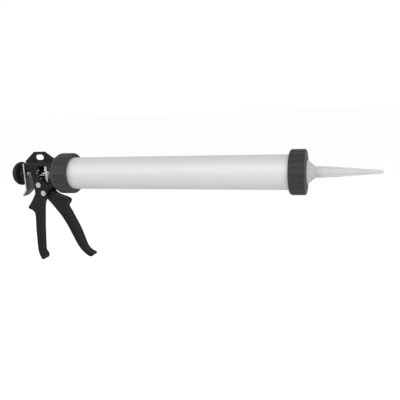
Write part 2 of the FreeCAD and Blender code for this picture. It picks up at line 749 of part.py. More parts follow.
# ---------------------------------------------------------------- handle, trigger and their screws

def make_rear_handle():
    """Fixed handle: a slender grip with a heel spur, hung from two cheeks inside the housing."""
    body = new_body("rear_handle")
    outline = [
        ("handle_screw_x - 6.5", "handle_screw_z + 6.5"),
        ("handle_screw_x + 4.5", "handle_screw_z + 6.5"),
        ("handle_screw_x + 5.5", "handle_screw_z - 6"),
        ("handle_screw_x + 0.4", "handle_screw_z - 28"),
        ("handle_screw_x - 3.2", "handle_screw_z - 40"),
        ("handle_screw_x - 8.2", "handle_screw_z - 82"),
        ("handle_screw_x - 10.8", "handle_screw_z - 118"),
        ("handle_screw_x - 8", "handle_screw_z - 122.4"),
        ("handle_screw_x - 6.6", "handle_screw_z - 128"),
        ("handle_screw_x - 9.4", "handle_screw_z - 132.5"),
        ("handle_screw_x - 15.2", "handle_screw_z - 134.5"),
        ("handle_screw_x - 21.4", "handle_screw_z - 119"),
        ("handle_screw_x - 20.6", "handle_screw_z - 80"),
        ("handle_screw_x - 18.8", "handle_screw_z - 57"),
        ("handle_screw_x - 19.6", "handle_screw_z - 50"),
        ("handle_screw_x - 23", "handle_screw_z - 46"),
        ("handle_screw_x - 31.4", "handle_screw_z - 42.4"),
        ("handle_screw_x - 30.8", "handle_screw_z - 39.8"),
        ("handle_screw_x - 14.8", "handle_screw_z - 20.7"),
        ("handle_screw_x - 9.8", "handle_screw_z - 10"),
    ]
    grip = side_pad(body, "grip", outline, "2 * grip_half_width")
    soft = rounded(body, grip, runs_across, "1")
    round_long_edges(body, soft, "grip_half_width", "grip_rounding")
    cheeks = [
        ("handle_screw_x - 6.5", "handle_screw_z + 6.5"),
        ("handle_screw_x + 4.5", "handle_screw_z + 6.5"),
        ("handle_screw_x + 5.5", "handle_screw_z - 6"),
        ("handle_screw_x - 1.6", "fork_floor - 4"),
        ("handle_screw_x - 13", "fork_floor - 6"),
        ("handle_screw_x - 17", "fork_floor - 1"),
        ("handle_screw_x - 9.8", "handle_screw_z - 10"),
    ]
    side_pad(body, "cheeks", cheeks, "2 * cheek_half_width")
    fork = box_between("-120", "0", "fork_floor", "40")
    side_cut(body, "fork", fork, "2 * fork_half_width")
    side_hole(body, "screw_hole", "handle_screw_x", "handle_screw_z", "screw_radius + snug_fit")


def round_long_edges(body, base, half_width, radius):
    """Round both rims of a piece padded across the gun."""
    reach = size(half_width)

    def is_rim(_edge, middle):
        return near(abs(middle.y), reach)

    return rounded(body, base, is_rim, radius)


def make_trigger():
    """Trigger: hub, nose that pushes the gripping plates, finger spur and curved blade."""
    body = new_body("trigger")
    nose_top = "-rod_radius - nose_clearance"
    outline = [
        ("-plate_back - loose_fit - 6.2", nose_top),
        ("-plate_back - loose_fit", nose_top),
        ("-plate_back - loose_fit", "trigger_screw_z + 20"),
        ("-plate_back - 2.5", "trigger_screw_z + 14.5"),
        ("trigger_screw_x + 4", "trigger_screw_z + 9"),
        ("trigger_screw_x + 9", "trigger_screw_z + 4"),
        ("trigger_screw_x + 18", "trigger_screw_z - 3.2"),
        ("trigger_screw_x + 28", "trigger_screw_z - 6.6"),
        ("trigger_screw_x + 37", "trigger_screw_z - 9.6"),
        ("trigger_screw_x + 41.6", "trigger_screw_z - 13.4"),
        ("trigger_screw_x + 40.4", "trigger_screw_z - 17.6"),
        ("trigger_screw_x + 36", "trigger_screw_z - 23.4"),
        ("trigger_screw_x + 38.6", "trigger_screw_z - 28"),
        ("trigger_screw_x + 44", "trigger_screw_z - 39.6"),
        ("trigger_screw_x + 53.5", "trigger_screw_z - 59.6"),
        ("trigger_screw_x + 61", "trigger_screw_z - 80.4"),
        ("trigger_screw_x + 68", "trigger_screw_z - 97"),
        ("trigger_screw_x + 80", "trigger_screw_z - 104.6"),
        ("trigger_screw_x + 78.6", "trigger_screw_z - 108.2"),
        ("trigger_screw_x + 74", "trigger_screw_z - 110.6"),
        ("trigger_screw_x + 64.8", "trigger_screw_z - 106"),
        ("trigger_screw_x + 53.8", "trigger_screw_z - 95"),
        ("trigger_screw_x + 43.4", "trigger_screw_z - 74"),
        ("trigger_screw_x + 31.6", "trigger_screw_z - 50"),
        ("trigger_screw_x + 16.8", "trigger_screw_z - 29.4"),
        ("trigger_screw_x + 0.8", "trigger_screw_z - 11"),
        ("trigger_screw_x - 7", "trigger_screw_z - 5"),
        ("trigger_screw_x - 7", "trigger_screw_z + 5"),
        ("trigger_screw_x - 4", "trigger_screw_z + 10"),
    ]
    blade = side_pad(body, "blade", outline, "2 * trigger_half_width")
    soft = rounded(body, blade, runs_across, "1")
    round_long_edges(body, soft, "trigger_half_width", "grip_rounding / 2")
    side_hole(body, "hub_hole", "trigger_screw_x", "trigger_screw_z", "trigger_bush_radius + snug_fit")


def make_tube_across(label, name, inner, outer, width):
    """A plain tube across the gun, round one of the pivot screws."""
    body = new_body(label)
    sketch = new_sketch(body, "section")
    draw_circle(sketch, name + "_screw_x", name + "_screw_z", outer)
    draw_circle(sketch, name + "_screw_x", name + "_screw_z", inner)
    extruded(body, sketch, width)


def make_pivot_screw(name):
    """Slotted screw across the gun, its head on the side at negative Y."""
    body = new_body(name + "_screw")
    x, z = name + "_screw_x", name + "_screw_z"
    shank_end = "housing_half_width + screw_nut_depth + 1"
    for part, radius, offset, length in (
        ("shank", "screw_radius", "-(%s)" % shank_end, shank_end + " + housing_half_width"),
        ("head", "screw_head_radius", "housing_half_width", "screw_head_depth"),
    ):
        sketch = new_sketch(body, part, "XZ_Plane", offset)
        draw_circle(sketch, x, z, radius)
        extruded(body, sketch, length, both_ways=False)
    floor = "housing_half_width + screw_head_depth - screw_slot_depth"
    sketch = new_sketch(body, "driver_slot", "XZ_Plane", floor)
    half = "screw_slot_width / 2"
    reach = "screw_head_radius + 1"
    corners = box_between(x + " - " + reach.replace("+", "-"), x + " + " + reach, z + " - " + half, z + " + " + half)
    draw_outline(sketch, corners)
    before = body.Shape.Volume
    slot = extruded(body, sketch, "screw_head_depth", "Pocket", both_ways=False)
    slot.Reversed = True
    document.recompute()
    if body.Shape.Volume >= before:
        raise ValueError(body.Label + ": the driver's slot cuts nothing")


def make_pivot_nuts():
    """One nut on each pivot screw, on the side at positive Y."""
    body = new_body("pivot_nuts")
    body.AllowCompound = True
    for name in ("handle", "trigger"):
        x, z = name + "_screw_x", name + "_screw_z"
        offset = "-(housing_half_width + screw_nut_depth)"
        sketch = new_sketch(body, name + "_nut", "XZ_Plane", offset)
        draw_hexagon(sketch, x, z, "screw_nut_flats")
        draw_circle(sketch, x, z, "screw_radius + snug_fit")
        extruded(body, sketch, "screw_nut_depth", both_ways=False)


# ---------------------------------------------------------------- plates, springs and release lever

def make_plate(label, start, depth):
    """A gripping plate across the rod."""
    body = new_body(label)
    sketch = new_sketch(body, "outline", "YZ_Plane", start)
    corners = box_between("-plate_half_width", "plate_half_width", "plate_bottom", "plate_top")
    draw_outline(sketch, corners)
    draw_circle(sketch, "0", "0", "rod_radius + loose_fit")
    extruded(body, sketch, depth, both_ways=False)


def make_gripping_plates():
    """The two plates that the trigger's nose drives along the rod."""
    make_plate("rear_gripping_plate", "-plate_back", "plate_depth")
    make_plate("front_gripping_plate", "-plate_back + plate_depth", "plate_depth")


def plates_front():
    """Front face of the gripping plates."""
    return "-plate_back + 2 * plate_depth"


def make_spring_washer():
    """Washer that carries the drive spring against the plates."""
    body = new_body("spring_washer")
    start = plates_front()
    inner = "rod_radius + loose_fit"
    ring(body, "section", start, start + " + spring_washer_depth", inner, "spring_washer_radius")


def make_spring(label, start, end, coil_radius, wire_radius, turns):
    """Coil spring round the rod, from one face to another."""
    wire = size(wire_radius)
    length = size(end) - size(start) - 2 * wire
    helix = Part.makeHelix(length / size(turns), length, size(coil_radius))
    centre = FreeCAD.Vector(size(coil_radius), 0, 0)
    section = Part.Wire(Part.makeCircle(wire, centre, FreeCAD.Vector(0, 1, 0)))
    along_rod = FreeCAD.Placement(
        FreeCAD.Vector(size(start) + wire, 0, 0),
        FreeCAD.Rotation(FreeCAD.Vector(0, 1, 0), 90),
    )
    helix.Placement = along_rod
    section.Placement = along_rod
    coil = Part.Wire(helix.Edges).makePipeShell([section], True, True)
    spring = document.addObject("Part::Feature", label)
    spring.Shape = coil
    place_on_gun(spring, label)


def make_springs():
    """Drive spring in front of the plates, catch spring in front of the release lever."""
    drive_start = plates_front() + " + spring_washer_depth"
    make_spring("drive_spring", drive_start, "-spring_seat_place",
                "drive_coil_radius", "drive_wire_radius", "drive_turns")
    make_spring("catch_spring", "-lever_place", "-bridge_back",
                "catch_coil_radius", "catch_wire_radius", "catch_turns")


def make_release_lever():
    """Bent steel plate that grips the rod and lets it go when its tail is pressed forwards."""
    body = new_body("release_lever")
    back = "-lever_place - lever_depth"
    outline = [
        (back, "lever_top"),
        ("-lever_place", "lever_top"),
        ("-lever_place", "lever_bend"),
        ("-lever_place - lever_tail_run", "lever_bend - lever_tail_drop"),
        (back + " - lever_tail_run * 0.93", "lever_bend - lever_tail_drop * 0.84"),
        (back, "lever_bend + 0.9"),
    ]
    side_pad(body, "plate", outline, "2 * lever_half_width")
    sketch = new_sketch(body, "rod_hole", "YZ_Plane", "-lever_place")
    draw_circle(sketch, "0", "0", "lever_hole_radius")
    extruded(body, sketch, "4 * lever_depth", "Pocket")
    sketch = new_sketch(body, "fin_notch", "YZ_Plane", "-lever_place")
    half = "lever_notch_half_width"
    draw_outline(sketch, box_between("-" + half, half, "lever_notch_floor", "lever_top + 5"))
    extruded(body, sketch, "4 * lever_depth", "Pocket")
    sketch = new_sketch(body, "tail_corner", "YZ_Plane", "-lever_place")
    tail_end = "lever_bend - lever_tail_drop - 1"
    corner = [
        ("lever_half_width + 1", tail_end + " + lever_corner + 2"),
        ("lever_half_width + 1", tail_end),
        ("lever_half_width - lever_corner", tail_end),
    ]
    draw_outline(sketch, corner)
    extruded(body, sketch, "4 * (lever_depth + lever_tail_run)", "Pocket")


# ---------------------------------------------------------------- build, check and write

def build_gun():
    """Make every piece of the gun."""
    fill_sheet()
    make_frame_housing()
    make_rod_bushes()
    make_rear_handle()
    make_tube_across("handle_spacer", "handle", "screw_radius + snug_fit", "spacer_radius", "2 * fork_half_width")
    make_trigger()
    make_tube_across("trigger_bush", "trigger", "screw_radius + snug_fit", "trigger_bush_radius",
                     "2 * trigger_half_width")
    make_pivot_screw("handle")
    make_pivot_screw("trigger")
    make_pivot_nuts()
    make_gripping_plates()
    make_spring_washer()
    make_springs()
    make_release_lever()
    make_push_rod()
    make_pull_knob()
    make_piston_washer()
    make_piston()
    make_piston_wiper()
    make_piston_nut()
    make_barrel_seal()
    make_barrel_tube()
    make_rear_collar()
    make_nozzle_seal()
    make_nozzle_base()
    make_nozzle_tip()
    make_front_ring()
    document.recompute()


def check_document():
    """Stop if any object failed or any piece has no sound solid."""
    for item in document.Objects:
        if "Invalid" in item.State or "Error" in item.State:
            raise ValueError(item.Label + " did not recompute: " + ", ".join(item.State))
    for piece in PIECES:
        shape = piece.Shape
        if shape.isNull() or not shape.isValid() or not shape.Solids:
            raise ValueError(piece.Label + " has no valid solid")


def write_parts():
    """Write each piece to its own file."""
    os.makedirs("parts", exist_ok=True)
    for piece in PIECES:
        piece.Shape.exportStep("parts/%s.step" % piece.Label)
        box = piece.Shape.BoundBox
        print("%-22s %9.1f mm3  x %7.1f..%7.1f  y %6.1f..%6.1f  z %7.1f..%6.1f" % (
            piece.Label, piece.Shape.Volume, box.XMin, box.XMax, box.YMin, box.YMax, box.ZMin, box.ZMax))


build_gun()
check_document()
write_parts()
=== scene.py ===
"""Looks of a closed-barrel caulking gun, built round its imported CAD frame.

Each sub-assembly is a dataclass that makes its detailed meshes and dresses them. Each finish is a frozen
dataclass that builds one procedural material. Profiles, outlines and the sizes of sub-assemblies are in
millimetres; everything in the studio is in metres. +X runs out of the nozzle and +Z is up.
"""

import logging
import math
from dataclasses import dataclass
from enum import Enum
from typing import Callable, Sequence

import bmesh
import bpy
from mathutils import Matrix, Vector


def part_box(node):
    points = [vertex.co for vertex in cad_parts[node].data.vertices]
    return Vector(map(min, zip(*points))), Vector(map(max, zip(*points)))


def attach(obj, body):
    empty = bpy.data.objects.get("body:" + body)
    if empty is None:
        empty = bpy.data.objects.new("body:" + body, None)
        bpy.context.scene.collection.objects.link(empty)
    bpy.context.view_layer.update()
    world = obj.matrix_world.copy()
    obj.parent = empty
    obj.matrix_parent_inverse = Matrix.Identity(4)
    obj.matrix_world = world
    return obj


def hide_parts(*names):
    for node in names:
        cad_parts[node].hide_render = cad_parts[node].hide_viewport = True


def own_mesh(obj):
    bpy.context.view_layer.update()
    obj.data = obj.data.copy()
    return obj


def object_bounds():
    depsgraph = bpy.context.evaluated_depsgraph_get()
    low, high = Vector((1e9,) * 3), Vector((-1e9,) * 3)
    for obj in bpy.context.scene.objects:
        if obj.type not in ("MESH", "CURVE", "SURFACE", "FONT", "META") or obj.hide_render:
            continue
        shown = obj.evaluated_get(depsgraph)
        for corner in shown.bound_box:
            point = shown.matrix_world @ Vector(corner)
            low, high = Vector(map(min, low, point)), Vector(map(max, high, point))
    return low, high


MM = 0.001
WELD_DISTANCE = 1e-6
LOG = logging.getLogger("caulking_gun")
Profile = list[tuple[float, float]]

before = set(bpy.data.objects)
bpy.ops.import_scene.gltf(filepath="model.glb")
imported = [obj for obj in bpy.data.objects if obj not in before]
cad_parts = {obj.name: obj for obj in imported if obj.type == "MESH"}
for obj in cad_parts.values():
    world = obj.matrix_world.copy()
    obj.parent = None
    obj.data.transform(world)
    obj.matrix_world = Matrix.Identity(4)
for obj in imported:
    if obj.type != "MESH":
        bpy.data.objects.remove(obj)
CAD_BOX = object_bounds()


class Axis(Enum):
    """Axis that a turned piece is made about."""

    ALONG = "x"
    ACROSS = "y"


# ------------------------------------------------------------------ meshes

def link_mesh(name: str, mesh: bpy.types.Mesh) -> bpy.types.Object:
    """Put a mesh in the scene as an object of its own.

    Args:
        name: Name of the new object.
        mesh: Mesh that it shows.

    Returns:
        The new object.
    """
    piece = bpy.data.objects.new(name, mesh)
    bpy.context.scene.collection.objects.link(piece)
    return piece


def solid(name: str, shape: bmesh.types.BMesh) -> bpy.types.Object:
    """Turn a finished shape into an object, and free the shape.

    Args:
        name: Name of the new object.
        shape: Shape that it takes.

    Returns:
        The new object.
    """
    mesh = bpy.data.meshes.new(name)
    shape.to_mesh(mesh)
    shape.free()
    return link_mesh(name, mesh)


def box_mm(node: str) -> tuple[Vector, Vector]:
    """Lowest and highest corner of a CAD node, in millimetres."""
    low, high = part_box(node)
    return low / MM, high / MM


def screw_place(node: str) -> tuple[float, float]:
    """Place of a screw in the side view, in millimetres."""
    low, high = box_mm(node)
    return (low.x + high.x) / 2, (low.z + high.z) / 2


def shade_smooth(piece: bpy.types.Object, angle: float = 32.0) -> None:
    """Shade a piece smoothly, but for edges sharper than an angle.

    Args:
        piece: Mesh object to shade.
        angle: Sharpest smooth edge, in degrees.
    """
    mesh = piece.data
    mesh.polygons.foreach_set("use_smooth", [True] * len(mesh.polygons))
    mesh.set_sharp_from_angle(angle=math.radians(angle))


def rounded_profile(corners: Sequence[tuple[float, float, float]], steps: int = 5) -> Profile:
    """Round the corners of a closed outline with arcs.

    Args:
        corners: Corner places and their rounding radii, in millimetres.
        steps: Straight runs that each arc is made of.

    Returns:
        Points of the rounded outline, in millimetres.
    """
    points: Profile = []
    count = len(corners)
    for i, (x, y, radius) in enumerate(corners):
        here = Vector((x, y))
        before = Vector(corners[i - 1][:2]) - here
        after = Vector(corners[(i + 1) % count][:2]) - here
        if radius <= 0 or before.length == 0 or after.length == 0:
            points.append((x, y))
            continue
        half = before.angle(after) / 2
        if half > math.radians(88):
            points.append((x, y))
            continue
        reach = min(radius / math.tan(half), before.length * 0.49, after.length * 0.49)
        radius = reach * math.tan(half)
        start = here + before.normalized() * reach
        end = here + after.normalized() * reach
        centre = here + (before.normalized() + after.normalized()).normalized() * (radius / math.sin(half))
        from_angle = math.atan2(start.y - centre.y, start.x - centre.x)
        sweep = math.atan2(end.y - centre.y, end.x - centre.x) - from_angle
        sweep = (sweep + math.pi) % (2 * math.pi) - math.pi
        for k in range(steps + 1):
            turn = from_angle + sweep * k / steps
            points.append((centre.x + radius * math.cos(turn), centre.y + radius * math.sin(turn)))
    return points


def smooth_loop(points: Sequence[tuple[float, float]], per_span: int = 6) -> Profile:
    """Run a closed smooth curve through the points of an outline.

    Args:
        points: Points that the curve passes through, in order.
        per_span: Points on the result for each point given.

    Returns:
        Points of the curve.
    """
    count = len(points)
    loop: Profile = []
    for i in range(count):
        p0, p1, p2, p3 = (Vector(points[(i + k) % count]) for k in (-1, 0, 1, 2))
        t1 = math.sqrt((p1 - p0).length)
        t2 = t1 + math.sqrt((p2 - p1).length)
        t3 = t2 + math.sqrt((p3 - p2).length)
        for k in range(per_span):
            t = t1 + (t2 - t1) * k / per_span
            a1 = p0 * (t1 - t) / t1 + p1 * t / t1
            a2 = p1 * (t2 - t) / (t2 - t1) + p2 * (t - t1) / (t2 - t1)
            a3 = p2 * (t3 - t) / (t3 - t2) + p3 * (t - t2) / (t3 - t2)
            b1 = a1 * (t2 - t) / t2 + a2 * t / t2
            b2 = a2 * (t3 - t) / (t3 - t1) + a3 * (t - t1) / (t3 - t1)
            place = b1 * (t2 - t) / (t2 - t1) + b2 * (t - t1) / (t2 - t1)
            loop.append((place.x, place.y))
    return loop


def lathe(
    name: str,
    profile: Profile,
    axis: Axis = Axis.ALONG,
    centre: tuple[float, float, float] = (0.0, 0.0, 0.0),
    segments: int = 96,
    radius_at: Callable[[float, float, float], float] | None = None,
) -> bpy.types.Object:
    """Turn a closed profile into a ring-shaped piece.

    Args:
        name: Name of the new object.
        profile: (place along the axis, radius) points, in millimetres.
        axis: Axis that the profile is turned about.
        centre: Point that the axis runs through and places are counted from, in millimetres.
        segments: Steps round the axis.
        radius_at: Gives the radius from (place, radius, angle), for ribs and notches.

    Returns:
        The new object.
    """
    shape = bmesh.new()
    loops = []
    for step in range(segments):
        angle = 2 * math.pi * step / segments
        loop = []
        for place, radius in profile:
            reach = radius_at(place, radius, angle) if radius_at and radius > 0 else radius
            across, up = reach * math.cos(angle), reach * math.sin(angle)
            point = (place, across, up) if axis is Axis.ALONG else (across, place, up)
            loop.append(shape.verts.new([(a + c) * MM for a, c in zip(point, centre)]))
        loops.append(loop)
    count = len(profile)
    for step in range(segments):
        here, there = loops[step], loops[(step + 1) % segments]
        for i in range(count):
            shape.faces.new((here[i], here[(i + 1) % count], there[(i + 1) % count], there[i]))
    bmesh.ops.remove_doubles(shape, verts=shape.verts, dist=1e-7)
    bmesh.ops.dissolve_degenerate(shape, dist=1e-8, edges=shape.edges)
    bmesh.ops.recalc_face_normals(shape, faces=shape.faces)
    piece = solid(name, shape)
    shade_smooth(piece)
    return piece


def plate(
    name: str,
    loops: Sequence[Profile],
    half_width: float,
    rounding: float,
    middle: float = 0.0,
    inset: float = 0.0,
) -> bpy.types.Object:
    """A flat piece across the gun, from its side view, with rounded rims.

    Args:
        name: Name of the new object.
        loops: The outline, then any holes in it, as (x, z) points in millimetres.
        half_width: Half of its width across the gun, in millimetres.
        rounding: Radius of its rims, in millimetres.
        middle: Place of its middle across the gun, in millimetres.
        inset: How far its rim lies inside the outline, in millimetres.

    Returns:
        The new object, as a mesh.
    """
    curve = bpy.data.curves.new(name + "_outline", "CURVE")
    curve.dimensions = "2D"
    curve.fill_mode = "BOTH"
    curve.extrude = (half_width - rounding) * MM
    curve.bevel_depth = rounding * MM
    curve.bevel_resolution = 4
    curve.offset = -(rounding + inset) * MM
    for loop in loops:
        spline = curve.splines.new("POLY")
        spline.points.add(len(loop) - 1)
        for point, (x, z) in zip(spline.points, loop):
            point.co = (x * MM, z * MM, 0.0, 1.0)
        spline.use_cyclic_u = True
    holder = bpy.data.objects.new(name + "_curve", curve)
    bpy.context.scene.collection.objects.link(holder)
    bpy.context.view_layer.update()
    mesh = bpy.data.meshes.new_from_object(holder.evaluated_get(bpy.context.evaluated_depsgraph_get()))
    bpy.data.objects.remove(holder)
    bpy.data.curves.remove(curve)
    upright = Matrix.Translation((0.0, middle * MM, 0.0)) @ Matrix.Rotation(math.radians(90), 4, "X")
    mesh.transform(upright)
    weld(mesh)
    piece = link_mesh(name, mesh)
    shade_smooth(piece)
    return piece


def weld(mesh: bpy.types.Mesh) -> None:
    """Join a mesh's doubled points and turn its faces outwards.

    Args:
        mesh: Mesh to mend.
    """
    shape = bmesh.new()
    shape.from_mesh(mesh)
    bmesh.ops.remove_doubles(shape, verts=shape.verts, dist=WELD_DISTANCE)
    bmesh.ops.recalc_face_normals(shape, faces=shape.faces)
    shape.to_mesh(mesh)
    shape.free()


def block(name: str, low: Sequence[float], high: Sequence[float]) -> bpy.types.Object:
    """A plain tool for cuts and fillings, between two corners.

    Args:
        name: Name of the new object.
        low: Lowest corner, in millimetres.
        high: Highest corner, in millimetres.

    Returns:
        The new object.
    """
    shape = bmesh.new()
    bmesh.ops.create_cube(shape, size=1.0)
    for vertex in shape.verts:
        vertex.co = Vector([(a + b) / 2 + (b - a) * c for a, b, c in zip(low, high, vertex.co)]) * MM
    return solid(name, shape)


def cad_copy(node: str, name: str) -> bpy.types.Object:
    """A welded copy of a CAD node's mesh, to be worked on.

    Args:
        node: Name of the CAD node.
        name: Name of the copy.

    Returns:
        The copy.
    """
    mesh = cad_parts[node].data.copy()
    mesh.name = name
    mesh.materials.clear()
    weld(mesh)
    return link_mesh(name, mesh)


def apply_modifiers(piece: bpy.types.Object) -> None:
    """Make a piece's modifiers part of its mesh.

    Args:
        piece: Object whose modifiers are applied.
    """
    bpy.context.view_layer.update()
    evaluated = piece.evaluated_get(bpy.context.evaluated_depsgraph_get())
    mesh = bpy.data.meshes.new_from_object(evaluated)
    piece.modifiers.clear()
    old = piece.data
    piece.data = mesh
    bpy.data.meshes.remove(old)
    mesh.name = piece.name


def cut(piece: bpy.types.Object, tools: Sequence[bpy.types.Object]) -> None:
    """Cut tools out of a piece, and remove the tools.

    Args:
        piece: Object that is cut.
        tools: Objects that cut it.
    """
    for tool in tools:
        modifier = piece.modifiers.new(tool.name, "BOOLEAN")
        modifier.operation = "DIFFERENCE"
        modifier.solver = "MANIFOLD"
        modifier.object = tool
    apply_modifiers(piece)
    for tool in tools:
        bpy.data.objects.remove(tool)


def join(name: str, parts: Sequence[bpy.types.Object]) -> bpy.types.Object:
    """Gather several meshes in one object.

    Args:
        name: Name of the new object.
        parts: Objects that it takes the place of.

    Returns:
        The new object.
    """
    shape = bmesh.new()
    for part in parts:
        shape.from_mesh(part.data)
        bpy.data.objects.remove(part)
    return solid(name, shape)


def cast(
    piece: bpy.types.Object,
    grain: float,
    tools: Sequence[bpy.types.Object] = (),
    passes: int = 4,
) -> None:
    """Turn overlapping shapes into one casting with soft edges and fillets.

    Args:
        piece: Object made of overlapping closed shapes.
        grain: Size of the casting's finest detail, in millimetres.
        tools: Shapes cut out of it before its edges are softened.
        passes: How often its surface is relaxed.
    """
    remesh(piece, grain)
    if tools:
        cut(piece, tools)
        remesh(piece, grain)
    relax = piece.modifiers.new("relax", "SMOOTH")
    relax.factor = 0.5
    relax.iterations = passes
    apply_modifiers(piece)
    shade_smooth(piece, 180.0)


def remesh(piece: bpy.types.Object, grain: float) -> None:
    """Make one closed skin of a piece.

    Args:
        piece: Object to rebuild.
        grain: Size of the new faces, in millimetres.
    """
    modifier = piece.modifiers.new("skin", "REMESH")
    modifier.mode = "VOXEL"
    modifier.voxel_size = grain * MM
    apply_modifiers(piece)


def soften(piece: bpy.types.Object, width: float, angle: float = 30.0) -> None:
    """Bevel the sharp edges of a piece.

    Args:
        piece: Object to soften.
        width: Width of the bevels, in millimetres.
        angle: Edges sharper than this are bevelled, in degrees.
    """
    bevel = piece.modifiers.new("soften", "BEVEL")
    bevel.width = width * MM
    bevel.segments = 3
    bevel.limit_method = "ANGLE"
    bevel.angle_limit = math.radians(angle)
    bevel.use_clamp_overlap = True
    apply_modifiers(piece)
    shade_smooth(piece, 40.0)


# ------------------------------------------------------------------ shared shader effects

def new_group(name: str, inputs: dict[str, float], outputs: Sequence[str]) -> bpy.types.NodeTree:
    """An empty shader node group with its sockets.

    Args:
        name: Name of the group.
        inputs: Names of its number inputs, with their usual values.
        outputs: Names of its number outputs.

    Returns:
        The group, with nodes named enter and leave.
    """
    group = bpy.data.node_groups.new(name, "ShaderNodeTree")
    for title, value in inputs.items():
        socket = group.interface.new_socket(title, in_out="INPUT", socket_type="NodeSocketFloat")
        socket.default_value = value
    for title in outputs:
        group.interface.new_socket(title, in_out="OUTPUT", socket_type="NodeSocketFloat")
    group.nodes.new("NodeGroupInput").name = "enter"
    group.nodes.new("NodeGroupOutput").name = "leave"
    return group


def maths(tree: bpy.types.NodeTree, operation: str, *values: object) -> bpy.types.NodeSocket:
    """A maths node fed by sockets or numbers.

    Args:
        tree: Node tree that it belongs to.
        operation: Name of the operation.
        values: Sockets or numbers for its inputs, in order.

    Returns:
        Its output.
    """
    node = tree.nodes.new("ShaderNodeMath")
    node.operation = operation
    for socket, value in zip(node.inputs, values):
        if isinstance(value, bpy.types.NodeSocket):
            tree.links.new(value, socket)
        else:
            socket.default_value = value
    return node.outputs[0]


def scaled_place(
    tree: bpy.types.NodeTree,
    stretch: Sequence[float] = (1.0, 1.0, 1.0),
) -> bpy.types.NodeSocket:
    """Object coordinates, stretched.

    Args:
        tree: Node tree that needs them.
        stretch: Factor along each axis.

    Returns:
        The coordinates.
    """
    place = tree.nodes.new("ShaderNodeTexCoord")
    mapping = tree.nodes.new("ShaderNodeMapping")
    mapping.inputs["Scale"].default_value = stretch
    tree.links.new(place.outputs["Object"], mapping.inputs["Vector"])
    return mapping.outputs["Vector"]


def noise(
    tree: bpy.types.NodeTree,
    place: bpy.types.NodeSocket,
    scale: object,
    detail: float = 3.0,
    roughness: float = 0.5,
) -> bpy.types.NodeSocket:
    """A noise texture.

    Args:
        tree: Node tree that it belongs to.
        place: Coordinates that it reads.
        scale: Its scale, per metre, as a number or a socket.
        detail: Its detail.
        roughness: How strong its finer layers are.

    Returns:
        Its value.
    """
    node = tree.nodes.new("ShaderNodeTexNoise")
    node.inputs["Detail"].default_value = detail
    node.inputs["Roughness"].default_value = roughness
    tree.links.new(place, node.inputs["Vector"])
    if isinstance(scale, bpy.types.NodeSocket):
        tree.links.new(scale, node.inputs["Scale"])
    else:
        node.inputs["Scale"].default_value = scale
    return node.outputs["Fac"]


def edge_wear_group() -> bpy.types.NodeTree:
    """Rubbed places along raised edges: Scale and Amount in, Mask out.

    Returns:
        The group.
    """
    group = new_group("edge_wear", {"Scale": 300.0, "Amount": 0.5}, ["Mask"])
    enter, leave = group.nodes["enter"], group.nodes["leave"]
    geometry = group.nodes.new("ShaderNodeNewGeometry")
    raised = maths(group, "SUBTRACT", geometry.outputs["Pointiness"], 0.515)
    raised = maths(group, "MULTIPLY", raised, 14.0)
    patchy = noise(group, scaled_place(group), enter.outputs["Scale"], 4.0, 0.6)
    patchy = maths(group, "SUBTRACT", patchy, 0.42)
    patchy = maths(group, "MULTIPLY", patchy, 5.0)
    both = maths(group, "MULTIPLY", clamped(group, raised), clamped(group, patchy))
    group.links.new(maths(group, "MULTIPLY", both, enter.outputs["Amount"]), leave.inputs["Mask"])
    return group


def clamped(tree: bpy.types.NodeTree, value: bpy.types.NodeSocket) -> bpy.types.NodeSocket:
    """The value, held between 0 and 1."""
    node = tree.nodes.new("ShaderNodeClamp")
    tree.links.new(value, node.inputs["Value"])
    return node.outputs["Result"]


def layered_group(
    name: str,
    scale: float,
    stretch: tuple[float, float, float],
    fine_noise: tuple[float, float],
    broad_noise: tuple[float, float],
    spread: float,
    share: float,
) -> bpy.types.NodeTree:
    """A fine noise over a broad one: Scale in, Height and Shade out.

    Args:
        name: Name of the group.
        scale: Usual scale of the fine noise.
        stretch: How the coordinates are stretched.
        fine_noise: Detail and roughness of the fine noise.
        broad_noise: Detail and roughness of the broad noise.
        spread: Scale of the broad noise, as a share of the fine one's.
        share: Share of the broad noise in the shade.

    Returns:
        The group.
    """
    group = new_group(name, {"Scale": scale}, ["Height", "Shade"])
    enter, leave = group.nodes["enter"], group.nodes["leave"]
    place = scaled_place(group, stretch)
    fine = noise(group, place, enter.outputs["Scale"], *fine_noise)
    broad = noise(group, place, maths(group, "MULTIPLY", enter.outputs["Scale"], spread), *broad_noise)
    group.links.new(fine, leave.inputs["Height"])
    shade = maths(group, "MULTIPLY_ADD", broad, share, maths(group, "MULTIPLY", fine, 1.0 - share))
    group.links.new(shade, leave.inputs["Shade"])
    return group


def handling_group() -> bpy.types.NodeTree:
    """Broad soft smudges and settled dust: Scale in, Mask out.

    Returns:
        The group.
    """
    group = new_group("handling", {"Scale": 30.0}, ["Mask"])
    enter, leave = group.nodes["enter"], group.nodes["leave"]
    broad = noise(group, scaled_place(group), enter.outputs["Scale"], 5.0, 0.62)
    spread = maths(group, "MULTIPLY", maths(group, "SUBTRACT", broad, 0.4), 3.0)
    group.links.new(clamped(group, spread), leave.inputs["Mask"])
    return group


class Effects:
    """The shader effects that several materials share, each built once."""

    def __init__(self) -> None:
        """Build every effect."""
        self.edge_wear = edge_wear_group()
        even, along = (1.0, 1.0, 1.0), (0.006, 1.0, 1.0)
        self.fine_texture = layered_group("fine_texture", 1500.0, even, (2.0, 0.5), (3.0, 0.6), 0.05, 0.75)
        self.drawn_lines = layered_group("drawn_lines", 1400.0, along, (3.0, 0.6), (2.0, 0.5), 0.12, 0.5)
        self.handling = handling_group()


# ------------------------------------------------------------------ finishes

Colour = tuple[float, float, float]


